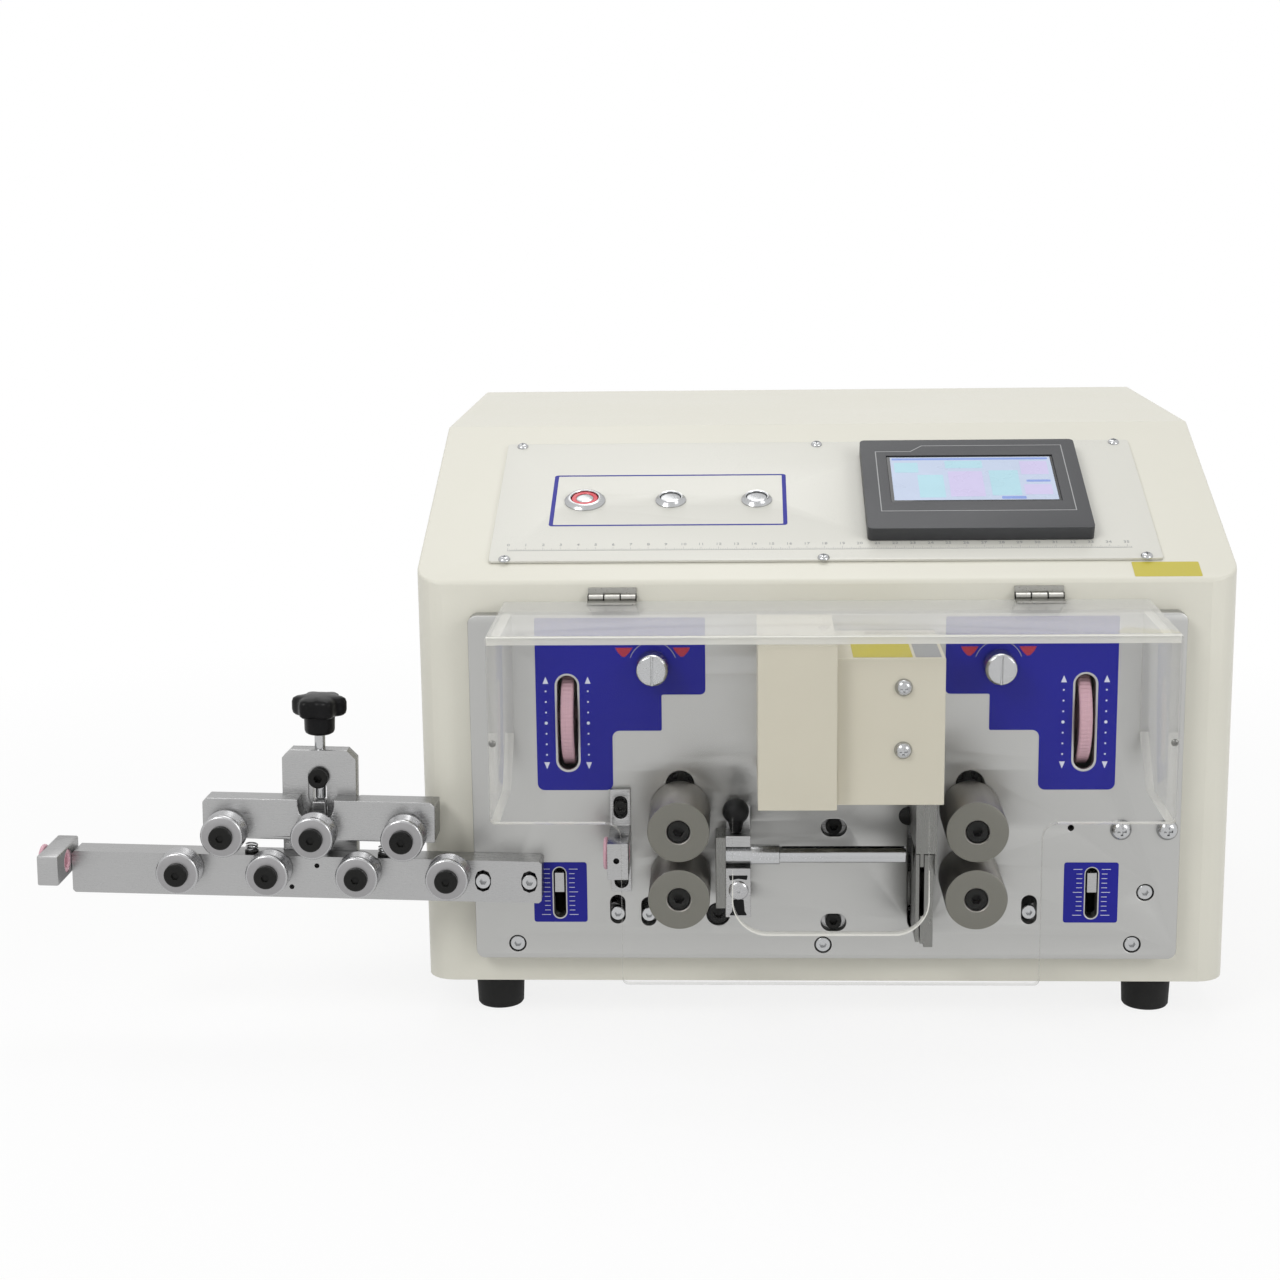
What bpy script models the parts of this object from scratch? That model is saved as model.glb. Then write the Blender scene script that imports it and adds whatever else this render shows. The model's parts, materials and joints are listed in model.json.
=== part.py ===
"""Bench machine that cuts wire to length and strips its ends.

Units are metres. The machine is drawn in its own frame: X from the middle of the casing to the
right, Y from the casing's front face to the rear, Z up from the underside of the casing. The empty
named machine sets that frame on the ground, with the origin under the middle of the whole object.
"""

import math

import bmesh
import bpy
from mathutils import Matrix, Vector

# Clearances, and how deep joined shapes run into each other
gap = 0.0003
edge = 0.0006
bite = 0.002

# Casing
casing_width = 0.458
casing_depth = 0.390
front_height = 0.234
casing_height = 0.301
slope_run = 0.174
sheet = 0.002
corner_radius = 0.016
bend_radius = 0.003
foot_height = 0.026
foot_top_radius = 0.0145
foot_base_radius = 0.0133
foot_inset = 0.035
foot_side_inset = 0.039
base_thickness = 0.003
rear_inset = 0.0005
mouth_margin = 0.0055
mouth_low_inset = 0.0025
mouth_corner = 0.006
mouth_high_inset = 0.0055

# Front plate
plate_margin = 0.038
plate_low = 0.017
plate_high = 0.217
plate_thickness = 0.010
plate_corner = 0.005
plate_screw_radius = 0.0048
plate_screw_left = (0.0238, 0.0258)
plate_screw_middle = (-0.0006, 0.0252)
plate_screw_right = (0.0249, 0.0258)
plate_screw_upper = (0.0185, 0.0565)
head_screws = ((0.0048, 0.0948), (0.0050, 0.0382))
head_screw_radius = 0.0066
bolt_slots = ((-0.1171, 0.0463), (-0.0994, 0.0450), (0.1153, 0.0463))
bolt_slot_width = 0.0084
bolt_slot_height = 0.0168
dark_hole = (-0.0600, 0.0435)

# Control panel on the slope, in distances up the slope from its lower edge
panel_width = 0.378
panel_low = 0.0195
panel_high = 0.1595
panel_thickness = 0.0015
panel_corner = 0.002
button_line = 0.088
button_sizes = {
    "power": (-0.138, 0.0120, 0.0092, 0.0078),
    "stop": (-0.0875, 0.0090, 0.0076, 0.0058),
    "start": (-0.037, 0.0090, 0.0076, 0.0058),
}
ring_height = 0.0028
ring_rim = 0.0008
barrel_length = 0.014
cap_dome = 0.0006
cap_sink = 0.0004
cap_inset = 0.004
screen_centre = (0.0895, 0.0925)
screen_size = (0.128, 0.106)
screen_rise = 0.008
screen_view = (0.0985, 0.0555)
screen_view_shift = 0.0055
screen_body = (0.118, 0.096)
screen_depth = 0.030
screen_corner = 0.003
screen_edge = 0.0012
screen_recess_depth = 0.001

# Safety cover
cover_width = 0.3574
cover_reach = 0.100
cover_top = 0.223
cover_sheet = 0.005
cover_wing_low = 0.123
cover_skirt_low = 0.0345
cover_skirt_width = 0.220
cover_side_corner = (0.035, 0.150)
cover_corner = 0.003
cover_rim = 0.008
window_half_width = 0.0512
window_low = 0.063
window_high = 0.1275
window_radius = 0.018

# Cover hinges
hinge_x = 0.1180
hinge_width = 0.027
hinge_axis_y = -0.0030
knuckle_radius = 0.0020
hinge_axis_z = cover_top + gap + knuckle_radius
hinge_pin_radius = 0.0009
leaf = 0.0010
leaf_reach = 0.011
leaf_height = 0.0054

# Feed rollers, their shafts and gears
wire_line = 0.0860
wire_y = -0.033
roller_x = 0.081
roller_radius = 0.017
roller_gap = 0.0043
roller_front = -0.055
roller_bore = 0.0065
roller_recess = 0.010
roller_bevel = 0.0008
shaft_radius = 0.006
shaft_tail = 0.001
shaft_slot_width = 0.016
shaft_slot_top = 0.1276
gear_teeth = 12
gear_root_radius = 0.0140
gear_tip_radius = 0.0196
gear_front = 0.004
gear_width = 0.012

# Lifting of the upper rollers
gap_travel = 0.0036
thumb_turn = math.radians(240)
thumb_x = 0.1436
thumb_centre_y = 0.012
thumb_centre_z = 0.1555
thumb_radius = 0.032
thumb_width = 0.007
thumb_slot_width = 0.011
thumb_slot_height = 0.054
thumb_relief_depth = 0.0078
thumb_shaft_radius = 0.004
thumb_shaft_ends = (0.1125, 0.1605)
cam_x = (0.115, 0.125)
cam_radius = 0.0096
cam_run = math.radians(275)
ear_width = 0.0045
ear_places = (0.1290, 0.1535)
ear_reach = 0.018
ear_half_height = 0.0075
arm_plate_y = (0.020, 0.032)
guide_pin_radius = 0.003
guide_pin_places = (0.0665, 0.1040)
pointer_x = 0.1500
pointer_slot_width = 0.0065
pointer_slot_low = 0.0415
pointer_slot_high = 0.0708
pointer_drop = 0.0026
pointer_height = 0.0115
pointer_rise = 0.0008
arm_below = 0.0175
arm_above = 0.0165
arm_margin = 0.006
wing_below = 0.0095
wing_above = 0.0045
hook_margin = 0.001
hook_height = 0.006

# Bearing plate and feed motors
tower_x = (0.060, 0.128)
tower_top = 0.138
bearing_y = (0.036, 0.046)
sill_height = 0.016
pillar_radius = 0.005
pillar_places = ((0.120, 0.042), (0.104, 0.1300))
motor_size = 0.042
motor_length = 0.048
motor_corner = 0.004
motor_cap = 0.009
motor_waist = 0.0012
shaft_into_motor = 0.020

# Cutter head
cutter_slot_x = (0.0470, 0.0588)
cutter_slot_z = (0.034, 0.140)
cut_travel = 0.008
screw_x = 0.038
screw_y = 0.030
screw_radius = 0.005
screw_neck = 0.0005
screw_foot = 0.001
screw_into_motor = 0.014
frame_x = (0.024, 0.0575)
frame_z = (0.020, 0.158)
frame_back_y = (0.050, 0.058)
frame_sheet = 0.008
rail_half_width = 0.005
rail_depth = 0.006
nut_y = 0.018
nut_height = 0.024
nut_side_inset = 0.0005
nut_below_arm = 0.004
arm_side_inset = 0.001
bar_x = (0.0473, 0.0585)
bar_front = -0.062
bar_back = -0.013
bar_z = (0.095, 0.178)
tooth_size = (0.0009, 0.011, 0.012)
pocket_height = 0.014
upper_arm_z = (0.116, 0.132)
lower_arm_z = (0.040, 0.056)
lower_arm_x = (0.0509, 0.0579)
blade_y = (-0.050, -0.016)
lower_blade_x = (0.0483, 0.0503)
upper_blade_x = (0.0506, 0.0526)
upright_x = (0.0529, 0.0579)
blade_tip = 0.091
notch_depth = 0.013
notch_half_width = 0.010
upper_notch_inset = 0.003

# Guard boxes
guard_sheet = 0.0012
guard_left = ((-0.038, -0.094, 0.1287), (0.0034, 0.2170))
guard_right = ((0.0037, -0.084, 0.1289), (0.0600, 0.2080))

# Swing pipe
pipe_pivot = (-0.048, 0.104)
pipe_ends = (-0.0570, 0.0440)
pipe_step_x = -0.0255
pipe_radius = 0.0055
pipe_nose_radius = 0.0046
pipe_bore_radius = 0.0033
pipe_block_x = (-0.0575, -0.0420)
pipe_block_y = (-0.046, -0.020)
pipe_block_z = (0.056, 0.0985)
pipe_block_edge = 0.0008
pipe_cheek_x = -0.0625
pipe_cheek_below = 0.006
pipe_cheek_above = 0.010
pipe_trough_start = 0.001
pipe_trough_width = 0.004
pipe_trough_below = 0.0006
pipe_pin_radius = 0.004
pipe_pin_end = 0.012
pipe_lug_y = (-0.024, -0.016)
pipe_lug_z = (0.090, 0.1115)
clamp_knob_radius = 0.0074
clamp_knob_z = 0.1125
clamp_neck_radius = 0.0034
clamp_neck_step = 0.0005

# Pressure knobs
pressure_x = 0.0955
pressure_z = 0.1887
pressure_radius = 0.009
pressure_length = 0.016
pressure_edge = 0.0016
pressure_slit = (0.0014, 0.0012)
pressure_shaft_end = 0.014
collar_radius = 0.007
collar_y = (0.0022, 0.0065)

# Inlet guide and ceramic eyelets
inlet_x = (-0.1203, -0.1088)
inlet_front = -0.050
inlet_foot = 0.0037
inlet_foot_z = (0.058, 0.118)
inlet_block_z = (0.0765, 0.0970)
eyelet_flange_radius = 0.009
eyelet_flange = 0.0025
eyelet_body_radius = 0.0065
eyelet_hole_radius = 0.004
eyelet_flare = 0.0012

# Straightener arm, in the arm's own frame: along the bar, and up from its clamping slots
arm_inset = 0.0205
arm_height = 0.068
arm_lean = math.radians(1.4)
bar_ends = (-0.2470, 0.0192)
bar_heights = (-0.0124, 0.0118)
bar_thickness = 0.0157
arm_slot_places = (-0.0138, 0.0123)
arm_slot_width = 0.009
arm_slot_height = 0.0129
bar_holes = ((-0.1076, 0.0065), (-0.1220, -0.0062))
bar_hole_radius = 0.0015
bar_corner = 0.0015
wheel_pitch = 0.0504
lower_wheel_start = -0.0326
lower_wheel_height = 0.0043
upper_wheel_start = -0.0574
upper_wheel_height = 0.0264
wheel_radius = 0.0121
wheel_groove_radius = 0.0088
wheel_rim = 0.0022
wheel_front = -0.041
wheel_pin_radius = 0.003
wheel_head_radius = 0.0063
wheel_head_front = -0.0432
carriage_ends = (-0.1718, -0.0407)
carriage_heights = (0.0215, 0.0447)
carriage_chamfer = 0.0025
carriage_sheet = 0.012
carriage_depth = 0.022
carriage_notch_width = 0.0203
carriage_notch_floor = 0.0310
carriage_travel = (-0.004, 0.006)
bracket_middle = -0.1078
bracket_width = 0.042
bracket_foot = -0.010
bracket_top = 0.0704
bracket_chamfer = 0.0050
bracket_thickness = 0.010
bracket_slot = (0.0140, 0.0520)
bracket_slot_width = 0.008
stem_radius = 0.003
tongue_heights = (0.0270, 0.0410)
tongue_rear_inset = 0.003
tongue_foot = 0.001
knob_hub_radius = 0.0088
knob_radius = 0.0155
knob_lobes = 6
knob_heights = (0.0790, 0.0880, 0.1050)
knob_hub_taper = 0.001
knob_lobe_depth = 0.0022
knob_edge = 0.0012
end_block_ends = (-0.2592, -0.2473)
end_block_front = -0.052
end_block_heights = (-0.0008, 0.0163)
end_eyelet_height = 0.0082
end_block_edge = 0.001

# Power supply, control board and inlet, placed from the casing's side and rear
supply_size = (0.110, 0.180, 0.0447)
supply_side_inset = 0.024
supply_rear_inset = 0.020
supply_edge = 0.001
board_size = (0.220, 0.170)
board_side_inset = 0.029
board_rear_inset = 0.030
board_height = 0.014
board_thickness = 0.0016
board_margin = 0.006
standoff_radius = 0.003
driver_size = (0.040, 0.060, 0.0212)
driver_pitch = 0.050
driver_places = (0.030, 0.015)
driver_count = 3
connector_height = 0.0112
connector_depth = 0.018
connector_y = 0.120
connectors = ((0.030, 0.070), (0.120, 0.060))
socket_side_inset = 0.064
socket_height = 0.050
socket_flange = (0.050, 0.028)
socket_body = (0.0275, 0.0215)
socket_mouth = (0.0245, 0.0170)
socket_depth = 0.018
socket_floor = 0.002
socket_corner = 0.004
socket_rise = 0.0018
vent_size = (0.042, 0.003)
vent_columns = (-0.110, -0.055, 0.0, 0.055)
vent_rows = 7
vent_pitch = 0.011
vent_low = 0.110

# Values worked out from those above
half_width = casing_width / 2
foot_x = half_width - foot_side_inset
plate_half = thumb_shaft_ends[1] + plate_margin
plate_screws = (
    (plate_screw_left[0] - plate_half, plate_screw_left[1]),
    plate_screw_middle,
    (plate_half - plate_screw_right[0], plate_screw_right[1]),
    (plate_half - plate_screw_upper[0], plate_screw_upper[1]),
)
arm_pivot = (arm_inset - plate_half, arm_height)
mouth_half_width = thumb_shaft_ends[1] + mouth_margin
mouth_low = plate_low + mouth_low_inset
mouth_high = plate_high - mouth_high_inset
supply_left = supply_side_inset - half_width
supply_rear = casing_depth - supply_rear_inset
board_right = half_width - board_side_inset
board_rear = casing_depth - board_rear_inset
socket_centre = (half_width - socket_side_inset, socket_height)
slope_angle = math.atan2(casing_height - front_height, slope_run)
plate_back = -gap
plate_front = plate_back - plate_thickness
lower_roller_z = wire_line - roller_radius - roller_gap / 2
upper_roller_z = wire_line + roller_radius + roller_gap / 2
shaft_hole = shaft_radius + gap
on_plate = plate_front - gap
bar_back_y = on_plate
bar_front_y = on_plate - bar_thickness
carriage_front_y = bar_front_y
bracket_front_y = carriage_front_y + carriage_sheet + gap
socket_rear = casing_depth + rear_inset + socket_rise
eyelet_left = end_block_ends[0] - gap - eyelet_flange
arm_tip_x = arm_pivot[0] + eyelet_left * math.cos(arm_lean)
arm_tip_x += (end_eyelet_height - eyelet_flange_radius) * math.sin(arm_lean)
middle_x = (arm_tip_x + half_width) / 2
middle_y = (socket_rear - cover_reach) / 2

# Start from an empty scene
for old in list(bpy.data.objects):
    bpy.data.objects.remove(old, do_unlink=True)

parts = bpy.data.collections.new("wire_stripping_machine")
tools = bpy.data.collections.new("cutters")
bpy.context.scene.collection.children.link(parts)
bpy.context.scene.collection.children.link(tools)


def empty(name, location, rotation=(0, 0, 0), parent=None):
    """Empty that carries pieces drawn in a frame of their own."""
    holder = bpy.data.objects.new(name, None)
    holder.location = location
    holder.rotation_euler = rotation
    holder.parent = parent
    parts.objects.link(holder)
    return holder


machine = empty("machine", (-middle_x, -middle_y, foot_height))
slope = empty("slope_frame", (0, 0, front_height), (slope_angle, 0, 0), machine)
arm = empty("arm_frame", (arm_pivot[0], 0, arm_pivot[1]), (0, arm_lean, 0), machine)


def material(name, colour, roughness, metallic=0.0, alpha=1.0):
    """Principled material; the colour is linear RGB."""
    finish = bpy.data.materials.new(name)
    finish.use_nodes = True
    shader = finish.node_tree.nodes["Principled BSDF"]
    shader.inputs["Base Color"].default_value = (*colour, 1.0)
    shader.inputs["Roughness"].default_value = roughness
    shader.inputs["Metallic"].default_value = metallic
    shader.inputs["Alpha"].default_value = alpha
    return finish


cream_paint = material("cream_paint", (0.63, 0.61, 0.51), 0.45)
panel_film = material("panel_film", (0.74, 0.74, 0.70), 0.40)
plate_aluminium = material("plate_aluminium", (0.43, 0.43, 0.43), 0.42, 1.0)
satin_aluminium = material("satin_aluminium", (0.55, 0.55, 0.55), 0.32, 1.0)
roller_steel = material("roller_steel", (0.23, 0.22, 0.20), 0.42, 1.0)
bright_steel = material("bright_steel", (0.60, 0.60, 0.60), 0.18, 1.0)
chrome = material("chrome", (0.75, 0.75, 0.75), 0.10, 1.0)
black_steel = material("black_steel", (0.02, 0.02, 0.02), 0.40, 0.6)
black_plastic = material("black_plastic", (0.015, 0.015, 0.016), 0.45)
dark_bezel = material("dark_bezel", (0.035, 0.037, 0.040), 0.50)
black_rubber = material("black_rubber", (0.012, 0.012, 0.012), 0.80)
clear_acrylic = material("clear_acrylic", (0.85, 0.88, 0.88), 0.05, 0.0, 0.30)
pink_ceramic = material("pink_ceramic", (0.60, 0.38, 0.42), 0.30)
beige_nylon = material("beige_nylon", (0.62, 0.47, 0.44), 0.50)
zinc_sheet = material("zinc_sheet", (0.50, 0.50, 0.50), 0.35, 1.0)
board_green = material("board_green", (0.02, 0.16, 0.06), 0.50)


def place(name, mesh, finish, parent, location):
    """Put a mesh in the scene as one piece, carried by its parent."""
    piece = bpy.data.objects.new(name, mesh)
    if finish:
        mesh.materials.append(finish)
    piece.parent = parent
    piece.location = location
    parts.objects.link(piece)
    return piece


def box(name, low, high, finish=None, parent=machine):
    """Box between two corners, with its origin in the middle."""
    low = Vector(low)
    high = Vector(high)
    model = bmesh.new()
    bmesh.ops.create_cube(model, size=1.0)
    bmesh.ops.scale(model, vec=high - low, verts=model.verts)
    mesh = bpy.data.meshes.new(name)
    model.to_mesh(mesh)
    model.free()
    return place(name, mesh, finish, parent, (low + high) / 2)


def shade_rounds(mesh, limit=35):
    """Shade a mesh smooth, apart from the edges that are sharper than the limit."""
    mesh.shade_smooth()
    mesh.set_sharp_from_angle(angle=math.radians(limit))


def towards(direction):
    """Rotation that turns the Z axis to a direction."""
    return Vector((0, 0, 1)).rotation_difference(Vector(direction)).to_matrix().to_4x4()


def rod(name, radius, start, end, finish=None, parent=machine, sides=16):
    """Round bar between two points, with its origin at the first."""
    start = Vector(start)
    end = Vector(end)
    length = (end - start).length
    model = bmesh.new()
    bmesh.ops.create_cone(
        model, cap_ends=True, segments=sides, radius1=radius, radius2=radius, depth=length
    )
    bmesh.ops.translate(model, vec=(0, 0, length / 2), verts=model.verts)
    mesh = bpy.data.meshes.new(name)
    model.to_mesh(mesh)
    model.free()
    mesh.transform(towards(end - start))
    shade_rounds(mesh)
    return place(name, mesh, finish, parent, start)


def as_mesh(drawing):
    """Mesh that a curve or a profile with a modifier makes; the drawing itself goes."""
    graph = bpy.context.evaluated_depsgraph_get()
    mesh = bpy.data.meshes.new_from_object(drawing.evaluated_get(graph))
    mesh.name = drawing.name
    bpy.data.objects.remove(drawing)
    return mesh


def turned(name, profile, start, direction, finish=None, parent=machine, sides=16, ring=False):
    """Turned piece from (radius, distance) points that run down its outside to its start.

    A ring's profile closes on itself through its bore, and any other ends on the axis.
    """
    points = [(radius, 0, distance) for radius, distance in profile]
    edges = [(index, index + 1) for index in range(len(points) - 1)]
    if ring:
        edges.append((len(points) - 1, 0))
    drawing = bpy.data.objects.new(name, bpy.data.meshes.new(name))
    drawing.data.from_pydata(points, edges, [])
    tools.objects.link(drawing)
    screw = drawing.modifiers.new("turn", "SCREW")
    screw.steps = sides
    screw.render_steps = sides
    screw.use_merge_vertices = True
    screw.merge_threshold = 0.00001
    mesh = as_mesh(drawing)
    shade_rounds(mesh)
    piece = place(name, mesh, finish, parent, start)
    piece.rotation_euler = towards(direction).to_euler()
    return piece


def circle(x, y, radius, sides=12):
    """Points of a round outline."""
    turn = 2 * math.pi / sides
    return [
        (x + radius * math.cos(turn * step), y + radius * math.sin(turn * step))
        for step in range(sides)
    ]


def oblong(x, low, high, width, steps=4):
    """Points of an upright slot with round ends."""
    radius = width / 2
    points = []
    for centre, first in ((high - radius, 0.0), (low + radius, math.pi)):
        for step in range(steps + 1):
            angle = first + math.pi * step / steps
            points.append((x + radius * math.cos(angle), centre + radius * math.sin(angle)))
    return points


def filleted(corners, radius, steps=3):
    """Outline with its corners rounded; a corner's third value is a radius of its own."""
    points = []
    for index, corner in enumerate(corners):
        here = Vector(corner[:2])
        size = corner[2] if len(corner) == 3 else radius
        if size == 0:
            points.append(tuple(here))
            continue
        before = (Vector(corners[index - 1][:2]) - here).normalized()
        after = (Vector(corners[(index + 1) % len(corners)][:2]) - here).normalized()
        half = before.angle(after) / 2
        centre = here + (before + after).normalized() * size / math.sin(half)
        first = here + before * size / math.tan(half) - centre
        last = here + after * size / math.tan(half) - centre
        start = math.atan2(first.y, first.x)
        sweep = math.atan2(last.y, last.x) - start
        sweep = (sweep + math.pi) % (2 * math.pi) - math.pi
        for step in range(steps + 1):
            angle = start + sweep * step / steps
            points.append((centre.x + size * math.cos(angle), centre.y + size * math.sin(angle)))
    return points


def rectangle(low, high, radius=0.0, steps=3):
    """Outline of a rectangle between two corners."""
    corners = [(low[0], low[1]), (high[0], low[1]), (high[0], high[1]), (low[0], high[1])]
    return filleted(corners, radius, steps)


PLANES = {
    "XY": Matrix(((1, 0, 0, 0), (0, 1, 0, 0), (0, 0, 1, 0), (0, 0, 0, 1))),
    "XZ": Matrix(((1, 0, 0, 0), (0, 0, -1, 0), (0, 1, 0, 0), (0, 0, 0, 1))),
    "YZ": Matrix(((0, 0, 1, 0), (1, 0, 0, 0), (0, 1, 0, 0), (0, 0, 0, 1))),
}


def plate(name, outline, near, far, plane, finish=None, parent=machine, holes=()):
    """Flat piece of an outline with holes, between two distances from its plane."""
    curve = bpy.data.curves.new(name, "CURVE")
    curve.dimensions = "2D"
    curve.fill_mode = "BOTH"
    curve.extrude = abs(far - near) / 2
    for ring in (outline, *holes):
        spline = curve.splines.new("POLY")
        spline.points.add(len(ring) - 1)
        for point, (x, y) in zip(spline.points, ring):
            point.co = (x, y, 0, 1)
        spline.use_cyclic_u = True
    drawing = bpy.data.objects.new(name, curve)
    tools.objects.link(drawing)
    mesh = as_mesh(drawing)
    mesh.materials.clear()
    model = bmesh.new()
    model.from_mesh(mesh)
    bmesh.ops.remove_doubles(model, verts=model.verts, dist=0.000001)
    bmesh.ops.dissolve_degenerate(model, edges=model.edges, dist=0.000001)
    bmesh.ops.recalc_face_normals(model, faces=model.faces)
    model.to_mesh(mesh)
    model.free()
    mesh.transform(PLANES[plane])
    shade_rounds(mesh)
    middle = (near + far) / 2
    location = [0 if axis in plane else middle for axis in "XYZ"]
    return place(name, mesh, finish, parent, location)


def apply_tool(piece, tool, operation):
    """Cut, join or trim a piece with a helper shape, which is then hidden."""
    step = piece.modifiers.new(tool.name, "BOOLEAN")
    step.operation = operation
    step.solver = "EXACT"
    step.object = tool
    parts.objects.unlink(tool)
    tools.objects.link(tool)
    tool.hide_render = True
    tool.display_type = "WIRE"


def cut(piece, *cutters):
    """Take helper shapes away from a piece."""
    for tool in cutters:
        apply_tool(piece, tool, "DIFFERENCE")


def join(piece, *additions):
    """Make helper shapes part of a piece."""
    for tool in additions:
        apply_tool(piece, tool, "UNION")


def soften(piece, width, segments=2, limit=30):
    """Round the edges of a piece that are sharper than the limit."""
    bevel = piece.modifiers.new("edges", "BEVEL")
    bevel.width = width
    bevel.segments = segments
    bevel.limit_method = "ANGLE"
    bevel.angle_limit = math.radians(limit)


def pivot_on(piece, point):
    """Move a piece's origin to a point on its joint's axis."""
    shift = Vector(point) - piece.location
    piece.data.transform(Matrix.Translation(-shift))
    piece.location = point


def casing_body(name, inset, low, rear):
    """Solid of the casing's outline, a sheet's thickness smaller with an inset."""
    tangent = math.tan(slope_angle)
    drop = inset / math.cos(slope_angle)
    top = casing_height - inset
    crest = (top - front_height + drop) / tangent
    bend = bend_radius - inset
    side = filleted(
        [
            (inset, low, 0),
            (rear, low, 0),
            (rear, top, 0),
            (crest, top, bend),
            (inset, front_height + inset * tangent - drop, bend),
        ],
        bend,
        2,
    )
    reach = half_width - inset
    body = plate(name, side, -reach, reach, "YZ", cream_paint)
    rounding = corner_radius - inset
    plan = filleted(
        [
            (-reach, inset, rounding),
            (reach, inset, rounding),
            (reach, rear + edge, 0),
            (-reach, rear + edge, 0),
        ],
        rounding,
        6,
    )
    column = plate(name + "_plan", plan, low - edge, casing_height + edge, "XY")
    apply_tool(body, column, "INTERSECT")
    return body


def make_casing():
    """Bent sheet casing, open below and behind, with the mouth and the panel's openings."""
    overrun = 0.02
    shell = casing_body("casing_shell", 0.0, 0.0, casing_depth)
    hollow = casing_body("casing_hollow", sheet, -overrun, casing_depth + overrun)
    mouth = plate(
        "casing_mouth",
        rectangle(
            (-mouth_half_width, mouth_low), (mouth_half_width, mouth_high), mouth_corner
        ),
        -overrun,
        overrun,
        "XZ",
    )
    cut(shell, hollow, mouth)
    for label, (x, _, barrel, _) in button_sizes.items():
        hole = rod(
            label + "_hole",
            barrel + gap,
            (x, button_line, -overrun),
            (x, button_line, overrun),
            parent=slope,
        )
        cut(shell, hole)
    half_x = screen_body[0] / 2 + edge
    half_y = screen_body[1] / 2 + edge
    opening = box(
        "screen_hole",
        (screen_centre[0] - half_x, screen_centre[1] - half_y, -overrun),
        (screen_centre[0] + half_x, screen_centre[1] + half_y, overrun),
        parent=slope,
    )
    cut(shell, opening)


def make_base():
    """Base plate inside the casing's lower edge, the rear panel and four feet."""
    reach = half_width - sheet - gap
    front = sheet + gap
    rounding = corner_radius - sheet - gap
    rear = casing_depth - rear_inset
    plan = filleted(
        [(-reach, front, rounding), (reach, front, rounding), (reach, rear, 0), (-reach, rear, 0)],
        rounding,
        6,
    )
    plate("base_plate", plan, 0, base_thickness, "XY", cream_paint)
    vents = [
        rectangle(
            (column - vent_size[0] / 2, vent_low + row * vent_pitch),
            (column + vent_size[0] / 2, vent_low + row * vent_pitch + vent_size[1]),
        )
        for column in vent_columns
        for row in range(vent_rows)
    ]
    half_x = socket_body[0] / 2 + gap
    half_z = socket_body[1] / 2 + gap
    socket_hole = rectangle(
        (socket_centre[0] - half_x, socket_centre[1] - half_z),
        (socket_centre[0] + half_x, socket_centre[1] + half_z),
    )
    panel = rectangle(
        (-reach, base_thickness + gap),
        (reach, casing_height - sheet - gap),
    )
    plate("rear_panel", panel, rear - sheet, rear, "XZ", cream_paint, holes=(*vents, socket_hole))
    for side_name, x in (("left", -foot_x), ("right", foot_x)):
        for end_name, y in (("front", foot_inset), ("rear", casing_depth - foot_inset)):
            turned(
                f"foot_{end_name}_{side_name}",
                [
                    (0, foot_height - gap),
                    (foot_top_radius, foot_height - gap),
                    (foot_base_radius, 0),
                    (0, 0),
                ],
                (x, y, -foot_height),
                (0, 0, 1),
                black_rubber,
            )


def make_front_plate():
    """Thick plate that carries the mechanism, with the ears for the thumb wheels' shafts."""
    holes = [circle(x, z, plate_screw_radius) for x, z in plate_screws]
    holes += [circle(x, z, head_screw_radius) for x, z in (*head_screws, dark_hole)]
    for x, z in bolt_slots:
        half = bolt_slot_height / 2
        holes.append(oblong(x, z - half, z + half, bolt_slot_width, 4))
    holes.append(circle(*pipe_pivot, pipe_pin_radius + gap))
    cutter_slot_middle = sum(cutter_slot_x) / 2
    cutter_slot_width = cutter_slot_x[1] - cutter_slot_x[0]
    holes.append(oblong(cutter_slot_middle, *cutter_slot_z, cutter_slot_width, 4))
    for side in (-1, 1):
        slot_low = upper_roller_z - gap_travel - shaft_slot_width / 2
        holes.append(oblong(side * roller_x, slot_low, shaft_slot_top, shaft_slot_width))
        holes.append(circle(side * roller_x, lower_roller_z, shaft_hole, 20))
        thumb_half = thumb_slot_height / 2
        holes.append(
            oblong(
                side * thumb_x,
                thumb_centre_z - thumb_half,
                thumb_centre_z + thumb_half,
                thumb_slot_width,
            )
        )
        holes.append(
            oblong(side * pointer_x, pointer_slot_low, pointer_slot_high, pointer_slot_width, 4)
        )
        holes.append(circle(side * pressure_x, pressure_z, thumb_shaft_radius + gap))
    outline = rectangle((-plate_half, plate_low), (plate_half, plate_high), plate_corner, 4)
    body = plate("front_plate", outline, plate_front, plate_back, "XZ", plate_aluminium, holes=holes)
    relief_half = thumb_radius + edge
    for side in (-1, 1):
        middle = side * thumb_x
        relief = box(
            f"thumb_relief_{side}",
            (
                middle - thumb_slot_width / 2,
                plate_back - thumb_relief_depth,
                thumb_centre_z - relief_half,
            ),
            (middle + thumb_slot_width / 2, plate_back + edge, thumb_centre_z + relief_half),
        )
        cut(body, relief)
        for number, start in enumerate(ear_places):
            low_x, high_x = sorted((side * start, side * (start + ear_width)))
            ear = box(
                f"ear_{side}_{number}",
                (low_x, plate_back - bite, thumb_centre_z - ear_half_height),
                (high_x, ear_reach, thumb_centre_z + ear_half_height),
            )
            join(body, ear)
        bore = rod(
            f"ear_bore_{side}",
            thumb_shaft_radius + gap,
            (side * (ear_places[0] - edge), thumb_centre_y, thumb_centre_z),
            (side * (ear_places[1] + ear_width + edge), thumb_centre_y, thumb_centre_z),
        )
        cut(body, bore)


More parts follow.
